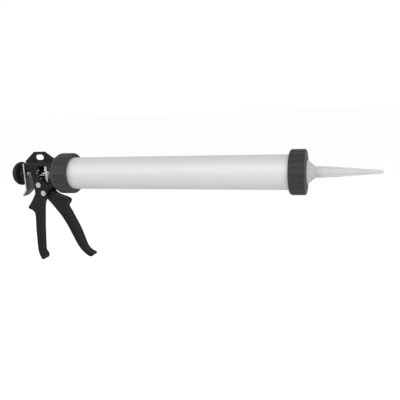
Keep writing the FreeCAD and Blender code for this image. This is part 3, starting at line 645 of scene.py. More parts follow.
class Surface:
    """One Principled material under construction."""

    def __init__(self, name: str) -> None:
        """Start a material with this name."""
        self.material = bpy.data.materials.new(name)
        self.material.use_nodes = True
        self.tree = self.material.node_tree
        self.shader = self.tree.nodes["Principled BSDF"]

    def effect(self, group: bpy.types.NodeTree, **values: float) -> bpy.types.ShaderNodeGroup:
        """Place a shared effect in the material.

        Args:
            group: The effect's group.
            values: Values for its inputs.

        Returns:
            The group's node.
        """
        node = self.tree.nodes.new("ShaderNodeGroup")
        node.node_tree = group
        for title, value in values.items():
            node.inputs[title].default_value = value
        return node

    def blend(self, factor: bpy.types.NodeSocket, first: object, second: object) -> bpy.types.NodeSocket:
        """Mix two colours.

        Args:
            factor: How much of the second shows.
            first: Colour or socket.
            second: Colour or socket.

        Returns:
            The mixed colour.
        """
        node = self.tree.nodes.new("ShaderNodeMix")
        node.data_type = "RGBA"
        self.tree.links.new(factor, node.inputs["Factor"])
        for socket, value in ((node.inputs[6], first), (node.inputs[7], second)):
            if isinstance(value, bpy.types.NodeSocket):
                self.tree.links.new(value, socket)
            else:
                socket.default_value = (*value, 1.0)
        return node.outputs[2]

    def between(self, factor: bpy.types.NodeSocket, low: float, high: float) -> bpy.types.NodeSocket:
        """A number that runs from low to high with the factor."""
        return maths(self.tree, "MULTIPLY_ADD", factor, high - low, low)

    def feed(self, title: str, value: object) -> None:
        """Give one of the shader's inputs a socket or a plain value.

        Args:
            title: Name of the input.
            value: Socket or plain value.
        """
        if isinstance(value, bpy.types.NodeSocket):
            self.tree.links.new(value, self.shader.inputs[title])
        else:
            self.shader.inputs[title].default_value = value

    def bump(self, height: bpy.types.NodeSocket, depth: float, strength: float = 1.0) -> None:
        """Raise the surface's normal from a height.

        Args:
            height: Height, from 0 to 1.
            depth: What a height of 1 means, in millimetres.
            strength: Strength of the effect.
        """
        node = self.tree.nodes.new("ShaderNodeBump")
        node.inputs["Strength"].default_value = strength
        node.inputs["Distance"].default_value = depth * MM
        self.tree.links.new(height, node.inputs["Height"])
        self.feed("Normal", node.outputs["Normal"])


@dataclass(frozen=True)
class CoatedCasting:
    """Black powder coat on cast aluminium."""

    name: str = "black_powder_coat"
    dark: Colour = (0.006, 0.006, 0.0065)
    light: Colour = (0.0125, 0.0125, 0.0125)
    worn: Colour = (0.1, 0.1, 0.1)
    peel_scale: float = 900.0
    peel_depth: float = 0.05

    def build(self, effects: Effects) -> bpy.types.Material:
        """Make the material: orange peel, soft smudges and rubbed edges."""
        surface = Surface(self.name)
        peel = surface.effect(effects.fine_texture, Scale=self.peel_scale)
        smudge = surface.effect(effects.handling, Scale=38.0)
        wear = surface.effect(effects.edge_wear, Scale=260.0, Amount=0.35)
        base = surface.blend(peel.outputs["Shade"], self.dark, self.light)
        surface.feed("Base Color", surface.blend(wear.outputs["Mask"], base, self.worn))
        surface.feed("Roughness", surface.between(smudge.outputs["Mask"], 0.34, 0.48))
        surface.feed("Specular IOR Level", 0.19)
        surface.feed("Coat Weight", 0.06)
        surface.feed("Coat Roughness", 0.22)
        surface.bump(peel.outputs["Height"], self.peel_depth, 0.5)
        return surface.material


@dataclass(frozen=True)
class MouldedPlastic:
    """Coloured plastic with a fine moulded texture."""

    name: str
    dark: Colour
    light: Colour
    roughness: tuple[float, float] = (0.4, 0.52)
    texture_scale: float = 2200.0
    texture_depth: float = 0.03
    shine: float = 0.4

    def build(self, effects: Effects) -> bpy.types.Material:
        """Make the material: fine texture, uneven gloss and scuffed edges."""
        surface = Surface(self.name)
        texture = surface.effect(effects.fine_texture, Scale=self.texture_scale)
        smudge = surface.effect(effects.handling, Scale=45.0)
        wear = surface.effect(effects.edge_wear, Scale=420.0, Amount=0.25)
        scuffed = tuple(min(1.0, value * 2.4 + 0.02) for value in self.light)
        base = surface.blend(texture.outputs["Shade"], self.dark, self.light)
        surface.feed("Base Color", surface.blend(wear.outputs["Mask"], base, scuffed))
        surface.feed("Roughness", surface.between(smudge.outputs["Mask"], *self.roughness))
        surface.feed("Specular IOR Level", self.shine)
        surface.bump(texture.outputs["Height"], self.texture_depth, 0.5)
        return surface.material


@dataclass(frozen=True)
class DrawnMetal:
    """Metal with lines drawn along the gun: anodised tube, or plated rod."""

    name: str
    dark: Colour
    light: Colour
    roughness: tuple[float, float]
    line_scale: float = 1400.0
    line_depth: float = 0.01
    metallic: float = 1.0

    def build(self, effects: Effects) -> bpy.types.Material:
        """Make the material: drawn lines in its colour, gloss and relief, with faint smudges."""
        surface = Surface(self.name)
        lines = surface.effect(effects.drawn_lines, Scale=self.line_scale)
        smudge = surface.effect(effects.handling, Scale=14.0)
        base = surface.blend(lines.outputs["Shade"], self.dark, self.light)
        hazy = tuple(value * 0.96 for value in self.light)
        surface.feed("Base Color", surface.blend(smudge.outputs["Mask"], base, hazy))
        surface.feed("Metallic", self.metallic)
        surface.feed("Roughness", surface.between(lines.outputs["Shade"], *self.roughness))
        surface.bump(lines.outputs["Height"], self.line_depth, 0.4)
        return surface.material


@dataclass(frozen=True)
class ZincPlate:
    """Bright zinc plating with a faint blue-green cast."""

    name: str = "zinc_plate"
    cool: Colour = (0.58, 0.65, 0.62)
    warm: Colour = (0.74, 0.74, 0.68)
    roughness: tuple[float, float] = (0.2, 0.36)

    def build(self, effects: Effects) -> bpy.types.Material:
        """Make the material: cloudy colour, uneven gloss and fine pitting."""
        surface = Surface(self.name)
        cloud = surface.effect(effects.handling, Scale=110.0)
        texture = surface.effect(effects.fine_texture, Scale=1700.0)
        surface.feed("Base Color", surface.blend(cloud.outputs["Mask"], self.cool, self.warm))
        surface.feed("Metallic", 1.0)
        surface.feed("Roughness", surface.between(texture.outputs["Shade"], *self.roughness))
        surface.bump(texture.outputs["Height"], 0.02, 0.35)
        return surface.material


@dataclass(frozen=True)
class ClearMoulding:
    """Translucent white plastic of the nozzle."""

    name: str = "nozzle_plastic"
    tint: Colour = (0.93, 0.95, 0.945)
    hazy: Colour = (0.87, 0.9, 0.895)

    def build(self, effects: Effects) -> bpy.types.Material:
        """Make the material: milky, with flow marks and a soft sheen."""
        surface = Surface(self.name)
        flow = surface.effect(effects.drawn_lines, Scale=420.0)
        texture = surface.effect(effects.fine_texture, Scale=1300.0)
        surface.feed("Base Color", surface.blend(flow.outputs["Shade"], self.tint, self.hazy))
        surface.feed("Roughness", surface.between(texture.outputs["Shade"], 0.24, 0.38))
        surface.feed("IOR", 1.46)
        surface.feed("Transmission Weight", 0.5)
        surface.bump(flow.outputs["Height"], 0.03, 0.3)
        return surface.material


@dataclass(frozen=True)
class SealRubber:
    """Matt black rubber of the gaskets and the wiper ring."""

    name: str = "seal_rubber"

    def build(self, effects: Effects) -> bpy.types.Material:
        """Make the material: dull, finely grained and a little dusty."""
        surface = Surface(self.name)
        texture = surface.effect(effects.fine_texture, Scale=1900.0)
        dust = surface.effect(effects.handling, Scale=70.0)
        base = surface.blend(texture.outputs["Shade"], (0.012, 0.012, 0.012), (0.028, 0.028, 0.028))
        surface.feed("Base Color", surface.blend(dust.outputs["Mask"], base, (0.045, 0.043, 0.04)))
        surface.feed("Roughness", surface.between(dust.outputs["Mask"], 0.62, 0.8))
        surface.bump(texture.outputs["Height"], 0.04, 0.5)
        return surface.material


@dataclass(frozen=True)
class StudioFloor:
    """Plain pale floor."""

    name: str = "pale_floor"
    shade: float = 0.8
    glow: float = 0.45

    def build(self, effects: Effects) -> bpy.types.Material:
        """Make the material: even, matt and almost white."""
        surface = Surface(self.name)
        texture = surface.effect(effects.fine_texture, Scale=60.0)
        pale = (self.shade, self.shade, self.shade)
        paler = tuple(value * 1.02 for value in pale)
        surface.feed("Base Color", surface.blend(texture.outputs["Shade"], pale, paler))
        surface.feed("Roughness", 0.9)
        path = surface.tree.nodes.new("ShaderNodeLightPath")
        surface.feed("Emission Color", (1.0, 1.0, 1.0, 1.0))
        glow = maths(surface.tree, "MULTIPLY", path.outputs["Is Camera Ray"], self.glow)
        surface.feed("Emission Strength", glow)
        return surface.material


class Finish(Enum):
    """Finishes of the gun: the record's material slots, and the lever's zinc darkened as painted shade for
    its broad faces, which shares the zinc slot.
    """

    HOUSING = "black_housing"
    HANDLE = "black_handle"
    NUT = "black_nut"
    KNOB = "black_knob"
    BARREL = "barrel_aluminium"
    ZINC = "zinc_steel"
    # Darker zinc for the lever's broad faces: painted shade, not a different plating.
    LEVER_PAINTED_SHADE = "lever_painted_shade"
    ROD = "rod_steel"
    SPRING = "spring_steel"
    BUSH = "bush_bronze"
    SEAL = "seal_rubber"
    PISTON = "piston_plastic"
    NOZZLE = "nozzle_plastic"


class Wardrobe:
    """All materials of the gun, one for each finish."""

    def __init__(self) -> None:
        """Build the shared effects and every material."""
        effects = Effects()
        self.floor = StudioFloor().build(effects)
        recipes = {
            Finish.HOUSING: CoatedCasting(),
            Finish.HANDLE: CoatedCasting(name="black_handle_coat", peel_scale=700.0),
            Finish.NUT: MouldedPlastic("nut_plastic", (0.022, 0.0225, 0.0225), (0.038, 0.039, 0.039)),
            Finish.KNOB: MouldedPlastic(
                "knob_plastic", (0.007, 0.007, 0.007), (0.014, 0.014, 0.014), (0.42, 0.54), shine=0.26,
            ),
            Finish.BARREL: DrawnMetal(
                "barrel_anodised", (0.73, 0.74, 0.745), (0.8, 0.81, 0.81), (0.54, 0.64), metallic=0.45,
            ),
            Finish.ZINC: ZincPlate(),
            # The lever's zinc, darkened as painted shade, for its broad faces only.
            Finish.LEVER_PAINTED_SHADE: ZincPlate("lever_zinc_painted_shade", (0.09, 0.108, 0.097), (0.17, 0.187, 0.167), (0.3, 0.45)),
            Finish.ROD: DrawnMetal("plated_rod", (0.62, 0.66, 0.63), (0.74, 0.76, 0.72), (0.16, 0.3), 2200.0),
            Finish.SPRING: ZincPlate(name="plated_wire", roughness=(0.16, 0.28)),
            Finish.BUSH: ZincPlate("pale_bronze", (0.58, 0.54, 0.47), (0.8, 0.76, 0.68), (0.34, 0.5)),
            Finish.SEAL: SealRubber(),
            Finish.PISTON: MouldedPlastic("piston_plastic", (0.06, 0.06, 0.062), (0.09, 0.09, 0.094)),
            Finish.NOZZLE: ClearMoulding(),
        }
        self.materials = {finish: recipe.build(effects) for finish, recipe in recipes.items()}

    def dress(self, piece: bpy.types.Object, finish: Finish) -> None:
        """Give a piece its finish.

        Args:
            piece: Object to dress.
            finish: Its finish.
        """
        piece.data.materials.clear()
        piece.data.materials.append(self.materials[finish])


# ------------------------------------------------------------------ sub-assemblies

@dataclass
class SubAssembly:
    """Pieces that belong together on the bench."""

    wardrobe: Wardrobe

    def __post_init__(self) -> None:
        """Find the gun's working datum."""
        self.tube_low, self.tube_high = box_mm("barrel_tube")
        self.datum = self.tube_low.x

    def fit(self, piece: bpy.types.Object, body: str, finish: Finish, *nodes: str) -> bpy.types.Object:
        """Dress a piece, let it ride on its body and put it in place of its CAD nodes.

        Args:
            piece: Piece that is ready.
            body: CAD body that it moves with.
            finish: Its finish.
            nodes: CAD nodes that it stands for.

        Returns:
            The piece.
        """
        self.wardrobe.dress(piece, finish)
        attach(piece, body)
        if nodes:
            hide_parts(*nodes)
        LOG.info("%s: %d faces on %s", piece.name, len(piece.data.polygons), body)
        return piece

    def keep(self, finish: Finish, *nodes: str) -> None:
        """Dress CAD nodes whose shape stays.

        Args:
            finish: Their finish.
            nodes: Their names.
        """
        for node in nodes:
            self.wardrobe.dress(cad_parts[node], finish)
            LOG.info("%s: kept from the frame", node)

    def place(self, x: float) -> float:
        """A place along the gun counted from the rear end of the tube, in the frame's millimetres."""
        return self.datum + x


@dataclass
class NotchPattern:
    """Grip notches round a collar or ring, in millimetres."""

    rim_radius: float
    start: float
    end: float
    count: int = 20
    width: float = 2.6
    depth: float = 1.15
    wall: float = 0.7
    fade: float = 1.6

    def radius(self, place: float, radius: float, angle: float) -> float:
        """The notched radius at a point of the rim.

        Args:
            place: Place along the gun.
            radius: Radius without notches.
            angle: Angle round the gun.

        Returns:
            The radius with notches.
        """
        if radius < self.rim_radius - 2.0 or not self.start < place < self.end:
            return radius
        pitch = 2 * math.pi / self.count
        offset = abs((angle + pitch / 2) % pitch - pitch / 2) * self.rim_radius
        inside = min(1.0, max(0.0, (self.width / 2 + self.wall - offset) / self.wall))
        shallow = min(1.0, (place - self.start) / self.fade, (self.end - place) / self.fade)
        ease = inside * inside * (3 - 2 * inside)
        return radius - self.depth * ease * shallow


@dataclass
class BarrelAssembly(SubAssembly):
    """Tube with its gaskets, the rear collar and the front ring."""

    tube_wall: float = 1.0
    loose_fit: float = 0.3
    ring_hole: float = 18.3
    rim_segments: int = 720

    def build(self) -> None:
        """Make, dress and seat every piece."""
        self.build_tube()
        self.build_collar()
        self.build_ring()
        self.keep(Finish.SEAL, "barrel_seal", "nozzle_seal")

    def build_tube(self) -> None:
        """Anodised tube with a rolled lip behind and an eased rim in front."""
        start, end = self.tube_low.x, self.tube_high.x
        outer = self.tube_radius()
        inner, lip = outer - self.tube_wall, self.tube_high.z
        corners = [
            (start, inner, 0.4), (end, inner, 0.3), (end, outer, 0.45), (start + 3.4, outer, 0.6),
            (start + 2.0, outer + 0.4, 0.4), (start + 2.0, lip, 0.5), (start, lip, 0.5),
        ]
        tube = lathe("barrel_tube_turned", rounded_profile(corners), segments=160)
        self.fit(tube, "barrel", Finish.BARREL, "barrel_tube")

    def tube_radius(self) -> float:
        """Outside radius of the tube, from its seal at the nozzle."""
        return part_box("nozzle_seal")[1].z / MM

    def build_collar(self) -> None:
        """Ribbed collar that draws the tube onto the housing."""
        low, high = box_mm("rear_collar")
        back, front, rim = low.x, high.x, high.z
        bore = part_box("barrel_seal")[1].z / MM + 0.8
        hole = self.tube_radius() + self.loose_fit
        lip = self.place(2.0)
        corners = [
            (back, bore, 0.4), (lip, bore, 0.1), (lip, hole, 0.1), (front, hole, 0.8),
            (front, rim - 1.4, 0.4), (front - 1.6, rim, 0.8), (back + 5.8, rim, 1.6), (back, rim - 3.2, 0.7),
        ]
        profile = self.split_runs(rounded_profile(corners), rim)
        notches = NotchPattern(rim, back + 5.0, front - 1.2)
        collar = lathe("rear_collar_ribbed", profile, segments=self.rim_segments, radius_at=notches.radius)
        self.fit(collar, "collar", Finish.NUT, "rear_collar")

    def build_ring(self) -> None:
        """Ribbed front ring with a domed face."""
        low, high = box_mm("front_ring")
        back, front, rim = low.x, high.x, high.z
        hole = self.ring_hole
        bore = self.tube_radius() + self.loose_fit
        lip = self.tube_high.x + 3.6
        corners = [
            (back, bore, 0.5), (lip, bore, 0.1), (lip, hole, 0.2), (front, hole, 0.9),
            (front - 2.0, rim - 1.4, 0.5), (front - 3.3, rim, 0.7), (back + 2.4, rim, 0.9),
            (back, rim - 2.3, 0.5),
        ]
        profile = self.split_runs(rounded_profile(corners), rim)
        notches = NotchPattern(rim, back + 1.6, front - 2.8)
        ring = lathe("front_ring_ribbed", profile, segments=self.rim_segments, radius_at=notches.radius)
        self.fit(ring, "ring", Finish.NUT, "front_ring")

    def split_runs(self, profile: Profile, rim: float, step: float = 1.0) -> Profile:
        """Add points to the outer runs of a profile, so that notches can end on them.

        Args:
            profile: Closed profile.
            rim: Outside radius.
            step: Longest outer run, in millimetres.

        Returns:
            The profile with the extra points.
        """
        result: Profile = []
        for i, (x, radius) in enumerate(profile):
            result.append((x, radius))
            next_x, next_radius = profile[(i + 1) % len(profile)]
            if min(radius, next_radius) < rim - 2.0:
                continue
            extra = int(math.hypot(next_x - x, next_radius - radius) / step)
            for k in range(1, extra):
                share = k / extra
                result.append((x + (next_x - x) * share, radius + (next_radius - radius) * share))
        return result


@dataclass
class NozzleAssembly(SubAssembly):
    """Translucent nozzle: base cone and slender tip."""

    spigot_bore: float = 4.4
    spigot_radius: float = 5.8
    socket_radius: float = 5.82
    outlet_radius: float = 1.5

    def build(self) -> None:
        """Make, dress and seat both pieces."""
        low, high = box_mm("nozzle_base")
        tip_low, tip_high = box_mm("nozzle_tip")
        flange, neck, reach = low.x, tip_low.x, high.z
        base = [
            (flange, 16.4, 0.3), (neck, self.spigot_bore, 0.8), (high.x, self.spigot_bore, 0.2),
            (high.x, self.spigot_radius, 0.3), (neck, self.spigot_radius, 0.0),
            (neck, 7.6, 0.3), (neck - 0.9, 8.3, 0.5), (flange + 4.0, 18.0, 1.2), (flange + 2.4, 18.0, 0.5),
            (flange + 2.4, reach, 0.4), (flange, reach, 0.4),
        ]
        cone = lathe("nozzle_cone", rounded_profile(base), segments=128)
        self.fit(cone, "nozzle", Finish.NOZZLE, "nozzle_base")
        self.build_tip(neck, high.x, tip_high)

    def build_tip(self, neck: float, socket_end: float, high: Vector) -> None:
        """Slender taper with a soft shoulder.

        Args:
            neck: Place where it meets the cone.
            socket_end: Place where the spigot inside it ends.
            high: Highest corner of the CAD tip.
        """
        outlet = high.x
        corners = [
            (neck, self.socket_radius, 0.1), (socket_end + 0.1, self.socket_radius, 0.1),
            (socket_end + 0.1, self.spigot_bore, 0.3),
            (outlet - 12.0, self.outlet_radius, 2.0), (outlet, self.outlet_radius, 0.1),
            (outlet, 2.0, 0.2), (outlet - 1.6, 2.3, 0.4),
            (neck + 19.0, 7.7, 8.0), (neck + 0.9, high.z, 0.5), (neck, 7.6, 0.2),
        ]
        tip = lathe("nozzle_taper", rounded_profile(corners), segments=96)
        self.fit(tip, "nozzle", Finish.NOZZLE, "nozzle_tip")


@dataclass
class RodAssembly(SubAssembly):
    """Push rod with its knob and its piston."""

    rod_radius: float = 4.0
    end_radius: float = 3.0
    end_length: float = 17.0
    crown_depth: float = 12.5
    hub_radius: float = 8.5

    def build(self) -> None:
        """Make, dress and seat every piece."""
        low, high = box_mm("push_rod")
        shoulder = self.tube_high.x - self.end_length
        corners = [
            (low.x, 0.0, 0.0), (high.x, 0.0, 0.0), (high.x, self.end_radius, 0.6),
            (shoulder, self.end_radius, 0.1), (shoulder, self.rod_radius, 0.4), (low.x, self.rod_radius, 0.5),
        ]
        rod = lathe("push_rod_drawn", rounded_profile(corners), segments=64)
        self.fit(rod, "rod", Finish.ROD, "push_rod")
        self.build_knob()
        self.keep(Finish.PISTON, "piston")
        self.keep(Finish.SEAL, "piston_wiper")
        self.keep(Finish.ZINC, "piston_washer", "piston_nut")

    def build_knob(self) -> None:
        """Mushroom knob with a shallow domed crown."""
        low, high = box_mm("pull_knob")
        back, front, rim = low.x, high.x, high.z
        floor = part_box("push_rod")[0].x / MM
        widest = back + self.crown_depth
        crown = []
        for step in range(1, 16):
            turn = math.radians(6 * step)
            crown.append((widest - self.crown_depth * math.cos(turn), rim * math.sin(turn), 0.0))
        corners = [(front, 4.02, 0.4), (floor, 4.02, 0.0), (floor, 0.0, 0.0), (back, 0.0, 0.0), *crown]
        corners += [
            (back + 14.4, rim, 1.6), (back + 15.6, rim - 4.0, 1.4), (back + 15.6, 10.0, 1.4),
            (front - 3.8, self.hub_radius, 1.2), (front, self.hub_radius, 0.8),
        ]
        knob = lathe("pull_knob_moulded", rounded_profile(corners, 8), segments=112)
        self.fit(knob, "rod", Finish.KNOB, "pull_knob")


@dataclass
class HousingAssembly(SubAssembly):
    """Cast housing with its bushes."""

    wall: float = 13.0
    boss_radius: float = 7.2
    boss_bore: float = 5.2
    boss_root: float = 1.5
    boss_height: float = 1.4
    grain: float = 0.34

    def build(self) -> None:
        """Make, dress and seat every piece."""
        housing = cad_copy("frame_housing", "housing_parts")
        parts = [housing]
        for node in ("handle_screw", "trigger_screw"):
            parts += [self.screw_boss(screw_place(node), side) for side in (-1, 1)]
        parts += self.roof_ribs()
        casting = join("frame_housing_cast", parts)
        cast(casting, self.grain)
        self.fit(casting, "frame", Finish.HOUSING, "frame_housing")
        self.keep(Finish.BUSH, "rear_rod_bush", "front_rod_bush")

    def screw_boss(self, place: tuple[float, float], side: int) -> bpy.types.Object:
        """Raised ring that a screw's head or nut sits in.

        Args:
            place: Place of the screw in the side view, in millimetres.
            side: -1 for the head's side, 1 for the nut's.

        Returns:
            The ring.
        """
        start, end = side * (self.wall - self.boss_root), side * (self.wall + self.boss_height)
        corners = [
            (start, self.boss_bore, 0.0), (end, self.boss_bore, 0.3), (end, self.boss_radius, 0.4),
            (start, self.boss_radius, 0.0),
        ]
        centre = (place[0], 0.0, place[1])
        return lathe("screw_boss", rounded_profile(corners), Axis.ACROSS, centre, 64)

    def roof_ribs(self) -> list[bpy.types.Object]:
        """Two thin ribs along each shoulder of the roof."""
        ribs = []
        for side in (-1, 1):
            for level, reach in ((14.2, 13.0), (18.6, 11.2)):
                low = (self.place(-58.0), min(side * (reach - 1.0), side * (reach + 0.5)), level - 0.5)
                high = (self.place(-12.5), max(side * (reach - 1.0), side * (reach + 0.5)), level + 0.5)
                ribs.append(block("roof_rib", low, high))
        return ribs


# Outlines of the grips in side view, each counted from its own screw, in millimetres.
HANDLE_OUTLINE: Profile = [
    (-6.5, 6.0), (-1.0, 7.0), (4.5, 5.5), (5.4, 0.0), (5.2, -7.0), (3.2, -16.0), (0.8, -26.0),
    (-1.6, -34.0), (-3.2, -41.0), (-5.4, -58.0), (-7.6, -76.0), (-9.2, -94.0), (-10.6, -112.0),
    (-10.7, -118.5), (-8.6, -121.6), (-6.9, -125.0), (-6.7, -129.0), (-9.2, -132.4), (-12.2, -133.8),
    (-15.0, -134.1), (-17.6, -130.4), (-20.2, -123.6), (-21.4, -116.0), (-21.2, -100.0), (-20.6, -80.0),
    (-19.4, -64.0), (-18.9, -56.0), (-19.7, -50.4), (-22.4, -46.6), (-26.6, -44.4), (-31.2, -42.4),
    (-31.0, -40.0), (-25.2, -32.6), (-15.0, -20.9), (-10.6, -12.0), (-7.8, -3.0),
]
HANDLE_CHANNEL: Profile = [
    (-8.2, -52.0), (-10.0, -70.0), (-11.6, -90.0), (-13.2, -112.0), (-15.6, -120.0), (-18.4, -112.0),
    (-18.4, -96.0), (-17.6, -76.0), (-16.4, -58.0), (-12.4, -49.0),
]
TRIGGER_OUTLINE: Profile = [
    (-3.4, 25.4), (0.6, 25.5), (2.6, 24.4), (2.6, 20.6), (0.6, 14.0), (4.0, 9.0), (9.0, 4.4),
    (18.0, -2.4), (28.0, -6.2), (36.0, -9.0), (40.0, -11.2), (41.6, -13.6), (40.6, -17.2), (37.4, -21.0),
    (36.2, -23.8), (37.4, -27.0), (40.6, -33.0), (44.4, -40.6), (49.2, -50.4), (53.8, -60.3),
    (57.6, -70.4), (61.2, -81.0), (64.2, -90.0), (68.2, -96.8), (73.6, -101.2), (79.6, -104.4),
    (80.0, -106.0), (78.0, -108.6), (73.6, -110.2), (69.0, -108.6), (64.4, -105.4), (58.8, -100.2),
    (53.8, -94.2), (48.6, -84.8), (43.4, -74.0), (38.0, -62.2), (31.6, -50.2), (24.6, -39.2),
    (16.8, -29.4), (8.8, -19.8), (1.0, -11.4), (-5.4, -6.4), (-7.4, 0.0), (-6.0, 5.6), (-4.0, 11.0),
    (-4.4, 18.0),
]
TRIGGER_CHANNEL: Profile = [
    (36.6, -34.4), (43.8, -47.4), (49.0, -59.0), (53.2, -70.0), (57.0, -81.6), (60.8, -91.6),
    (65.6, -98.6), (62.0, -99.4), (56.8, -93.4), (51.8, -84.0), (46.8, -73.0), (41.4, -61.0),
    (35.4, -50.2), (30.6, -42.2), (31.6, -36.4),
]


@dataclass
class GripAssembly(SubAssembly):
    """Fixed handle and trigger, with their bush and spacer."""

    half_width: float = 6.0
    grain: float = 0.36
    cheek_foot: float = -51.0
    fork_floor: float = -42.0
    fork_half_gap: float = 6.8


    def build(self) -> None:
        """Make, dress and seat every piece."""
        self.build_handle()
        self.build_trigger()
        self.keep(Finish.ZINC, "handle_spacer")
        self.keep(Finish.BUSH, "trigger_bush")

    def moved(self, outline: Profile, origin: tuple[float, float]) -> Profile:
        """An outline counted from a screw, put in its place."""
        return [(x + origin[0], z + origin[1]) for x, z in outline]

    def build_handle(self) -> None:
        """Slender grip with a heel spur, a forked head and a channel on each side."""
        origin = screw_place("handle_screw")
        outline = smooth_loop(self.moved(HANDLE_OUTLINE, origin))
        low, high = box_mm("rear_handle")
        grip = self.grooved("handle_grip", outline, self.half_width)
        cheeks = plate("handle_cheeks", [outline], high.y, 0.8)
        below = [block("below_cheeks", (low.x - 9, -20, low.z - 9), (high.x + 9, 20, self.cheek_foot))]
        below += [self.cheek_slope(low.x - 9, high.x + 9, high.y, side) for side in (-1, 1)]
        cut(cheeks, below)
        handle = join("rear_handle_cast", [*grip, cheeks])
        gap = self.fork_half_gap
        tools = [block("fork_gap", (low.x - 9, -gap, self.fork_floor), (high.x + 9, gap, high.z + 9))]
        tools.append(self.screw_hole(origin, 2.55))
        tools += self.channel_tools(self.moved(HANDLE_CHANNEL, origin), self.half_width, 1.3)
        cast(handle, self.grain, tools)
        self.fit(handle, "frame", Finish.HANDLE, "rear_handle")

    def cheek_slope(self, back: float, front: float, outside: float, side: int) -> bpy.types.Object:
        """A tool that lets a cheek's lower end run out into the grip.

        Args:
            back: Its rear end, in millimetres.
            front: Its front end.
            outside: Distance of the cheek's outer face from the middle.
            side: -1 for the screw heads' side, 1 for the nuts'.

        Returns:
            The tool.
        """
        run, rise = outside - 5.6, 11.0
        tool = block("cheek_slope", (back, min(0.0, side * 30.0), -30.0), (front, max(0.0, side * 30.0), 0.0))
        tool.data.transform(Matrix.Rotation(side * math.atan2(rise, run), 4, "X"))
        tool.data.transform(Matrix.Translation(Vector((0.0, side * 5.6, -50.8)) * MM))
        return tool

    def build_trigger(self) -> None:
        """Curved blade with a spur, a nose for the plates and a channel on each side."""
        origin = screw_place("trigger_screw")
        outline = smooth_loop(self.moved(TRIGGER_OUTLINE, origin))
        half_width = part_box("trigger")[1].y / MM
        trigger = join("trigger_cast", self.grooved("trigger_blade", outline, half_width))
        tools = [self.screw_hole(origin, 4.25)]
        tools += self.channel_tools(self.moved(TRIGGER_CHANNEL, origin), half_width, 1.6)
        cast(trigger, self.grain, tools)
        self.fit(trigger, "trigger", Finish.HANDLE, "trigger")

    def grooved(self, name: str, outline: Profile, half_width: float) -> list[bpy.types.Object]:
        """A grip whose narrow faces have a shallow groove between two rims.

        Args:
            name: Name of its parts.
            outline: The grip in side view, in millimetres.
            half_width: Half of the grip's width.

        Returns:
            Two side plates and the core between them.
        """
        rim = half_width * 0.44
        parts = [plate(name, [outline], rim / 2, 1.1, side * (half_width - rim / 2)) for side in (-1, 1)]
        parts.append(plate(name, [outline], half_width - rim + 0.5, 0.2, inset=1.1))
        return parts

    def screw_hole(self, origin: tuple[float, float], radius: float) -> bpy.types.Object:
        """A tool that bores a hole right across the gun."""
        profile = [(-40.0, 0.0), (40.0, 0.0), (40.0, radius), (-40.0, radius)]
        return lathe("bore", profile, Axis.ACROSS, (origin[0], 0.0, origin[1]), 48)

    def channel_tools(self, outline: Profile, half_width: float, depth: float) -> list[bpy.types.Object]:
        """Tools that sink a channel in both sides of a grip.

        Args:
            outline: The channel in side view, in millimetres.
            half_width: Half of the grip's width.
            depth: Depth of the channel.

        Returns:
            One tool for each side.
        """
        loop = smooth_loop(outline)
        return [plate("channel", [loop], 3.0, 0.6, side * (half_width - depth + 3.0)) for side in (-1, 1)]


@dataclass
class FastenerAssembly(SubAssembly):
    """Slotted pivot screws and their nuts."""

    head_depth: float = 2.0
    shank_radius: float = 2.5
    slot_depth: float = 1.1

    def build(self) -> None:
        """Make, dress and seat every piece."""
        for node in ("handle_screw", "trigger_screw"):
            self.build_screw(node)
        nuts = cad_copy("pivot_nuts", "pivot_nuts_eased")
        soften(nuts, 0.35)
        self.fit(nuts, "frame", Finish.ZINC, "pivot_nuts")

    def build_screw(self, node: str) -> None:
        """Slotted screw with an eased head.

        Args:
            node: CAD node that it stands for.
        """
        low, high = box_mm(node)
        x, z = screw_place(node)
        head, seat, shank = low.y, low.y + self.head_depth, self.shank_radius
        corners = [
            (head, 0.0, 0.0), (head, high.z - z, 0.7), (seat, high.z - z, 0.2), (seat, shank, 0.0),
            (high.y, shank, 0.5), (high.y, 0.0, 0.0),
        ]
        screw = lathe(node + "_turned", rounded_profile(corners), Axis.ACROSS, (x, 0.0, z), 72)
        slot = block("driver_slot", (-6.0, -0.9, -0.85), (6.0, 2.4, 0.85))
        slot.data.transform(Matrix.Rotation(math.radians(35.0 if "handle" in node else 12.0), 4, "Y"))
        slot.data.transform(Matrix.Translation(Vector((x, head - self.slot_depth, z)) * MM))
        cut(screw, [slot])
        soften(screw, 0.12, 50.0)
        self.fit(screw, "frame", Finish.ZINC, node)


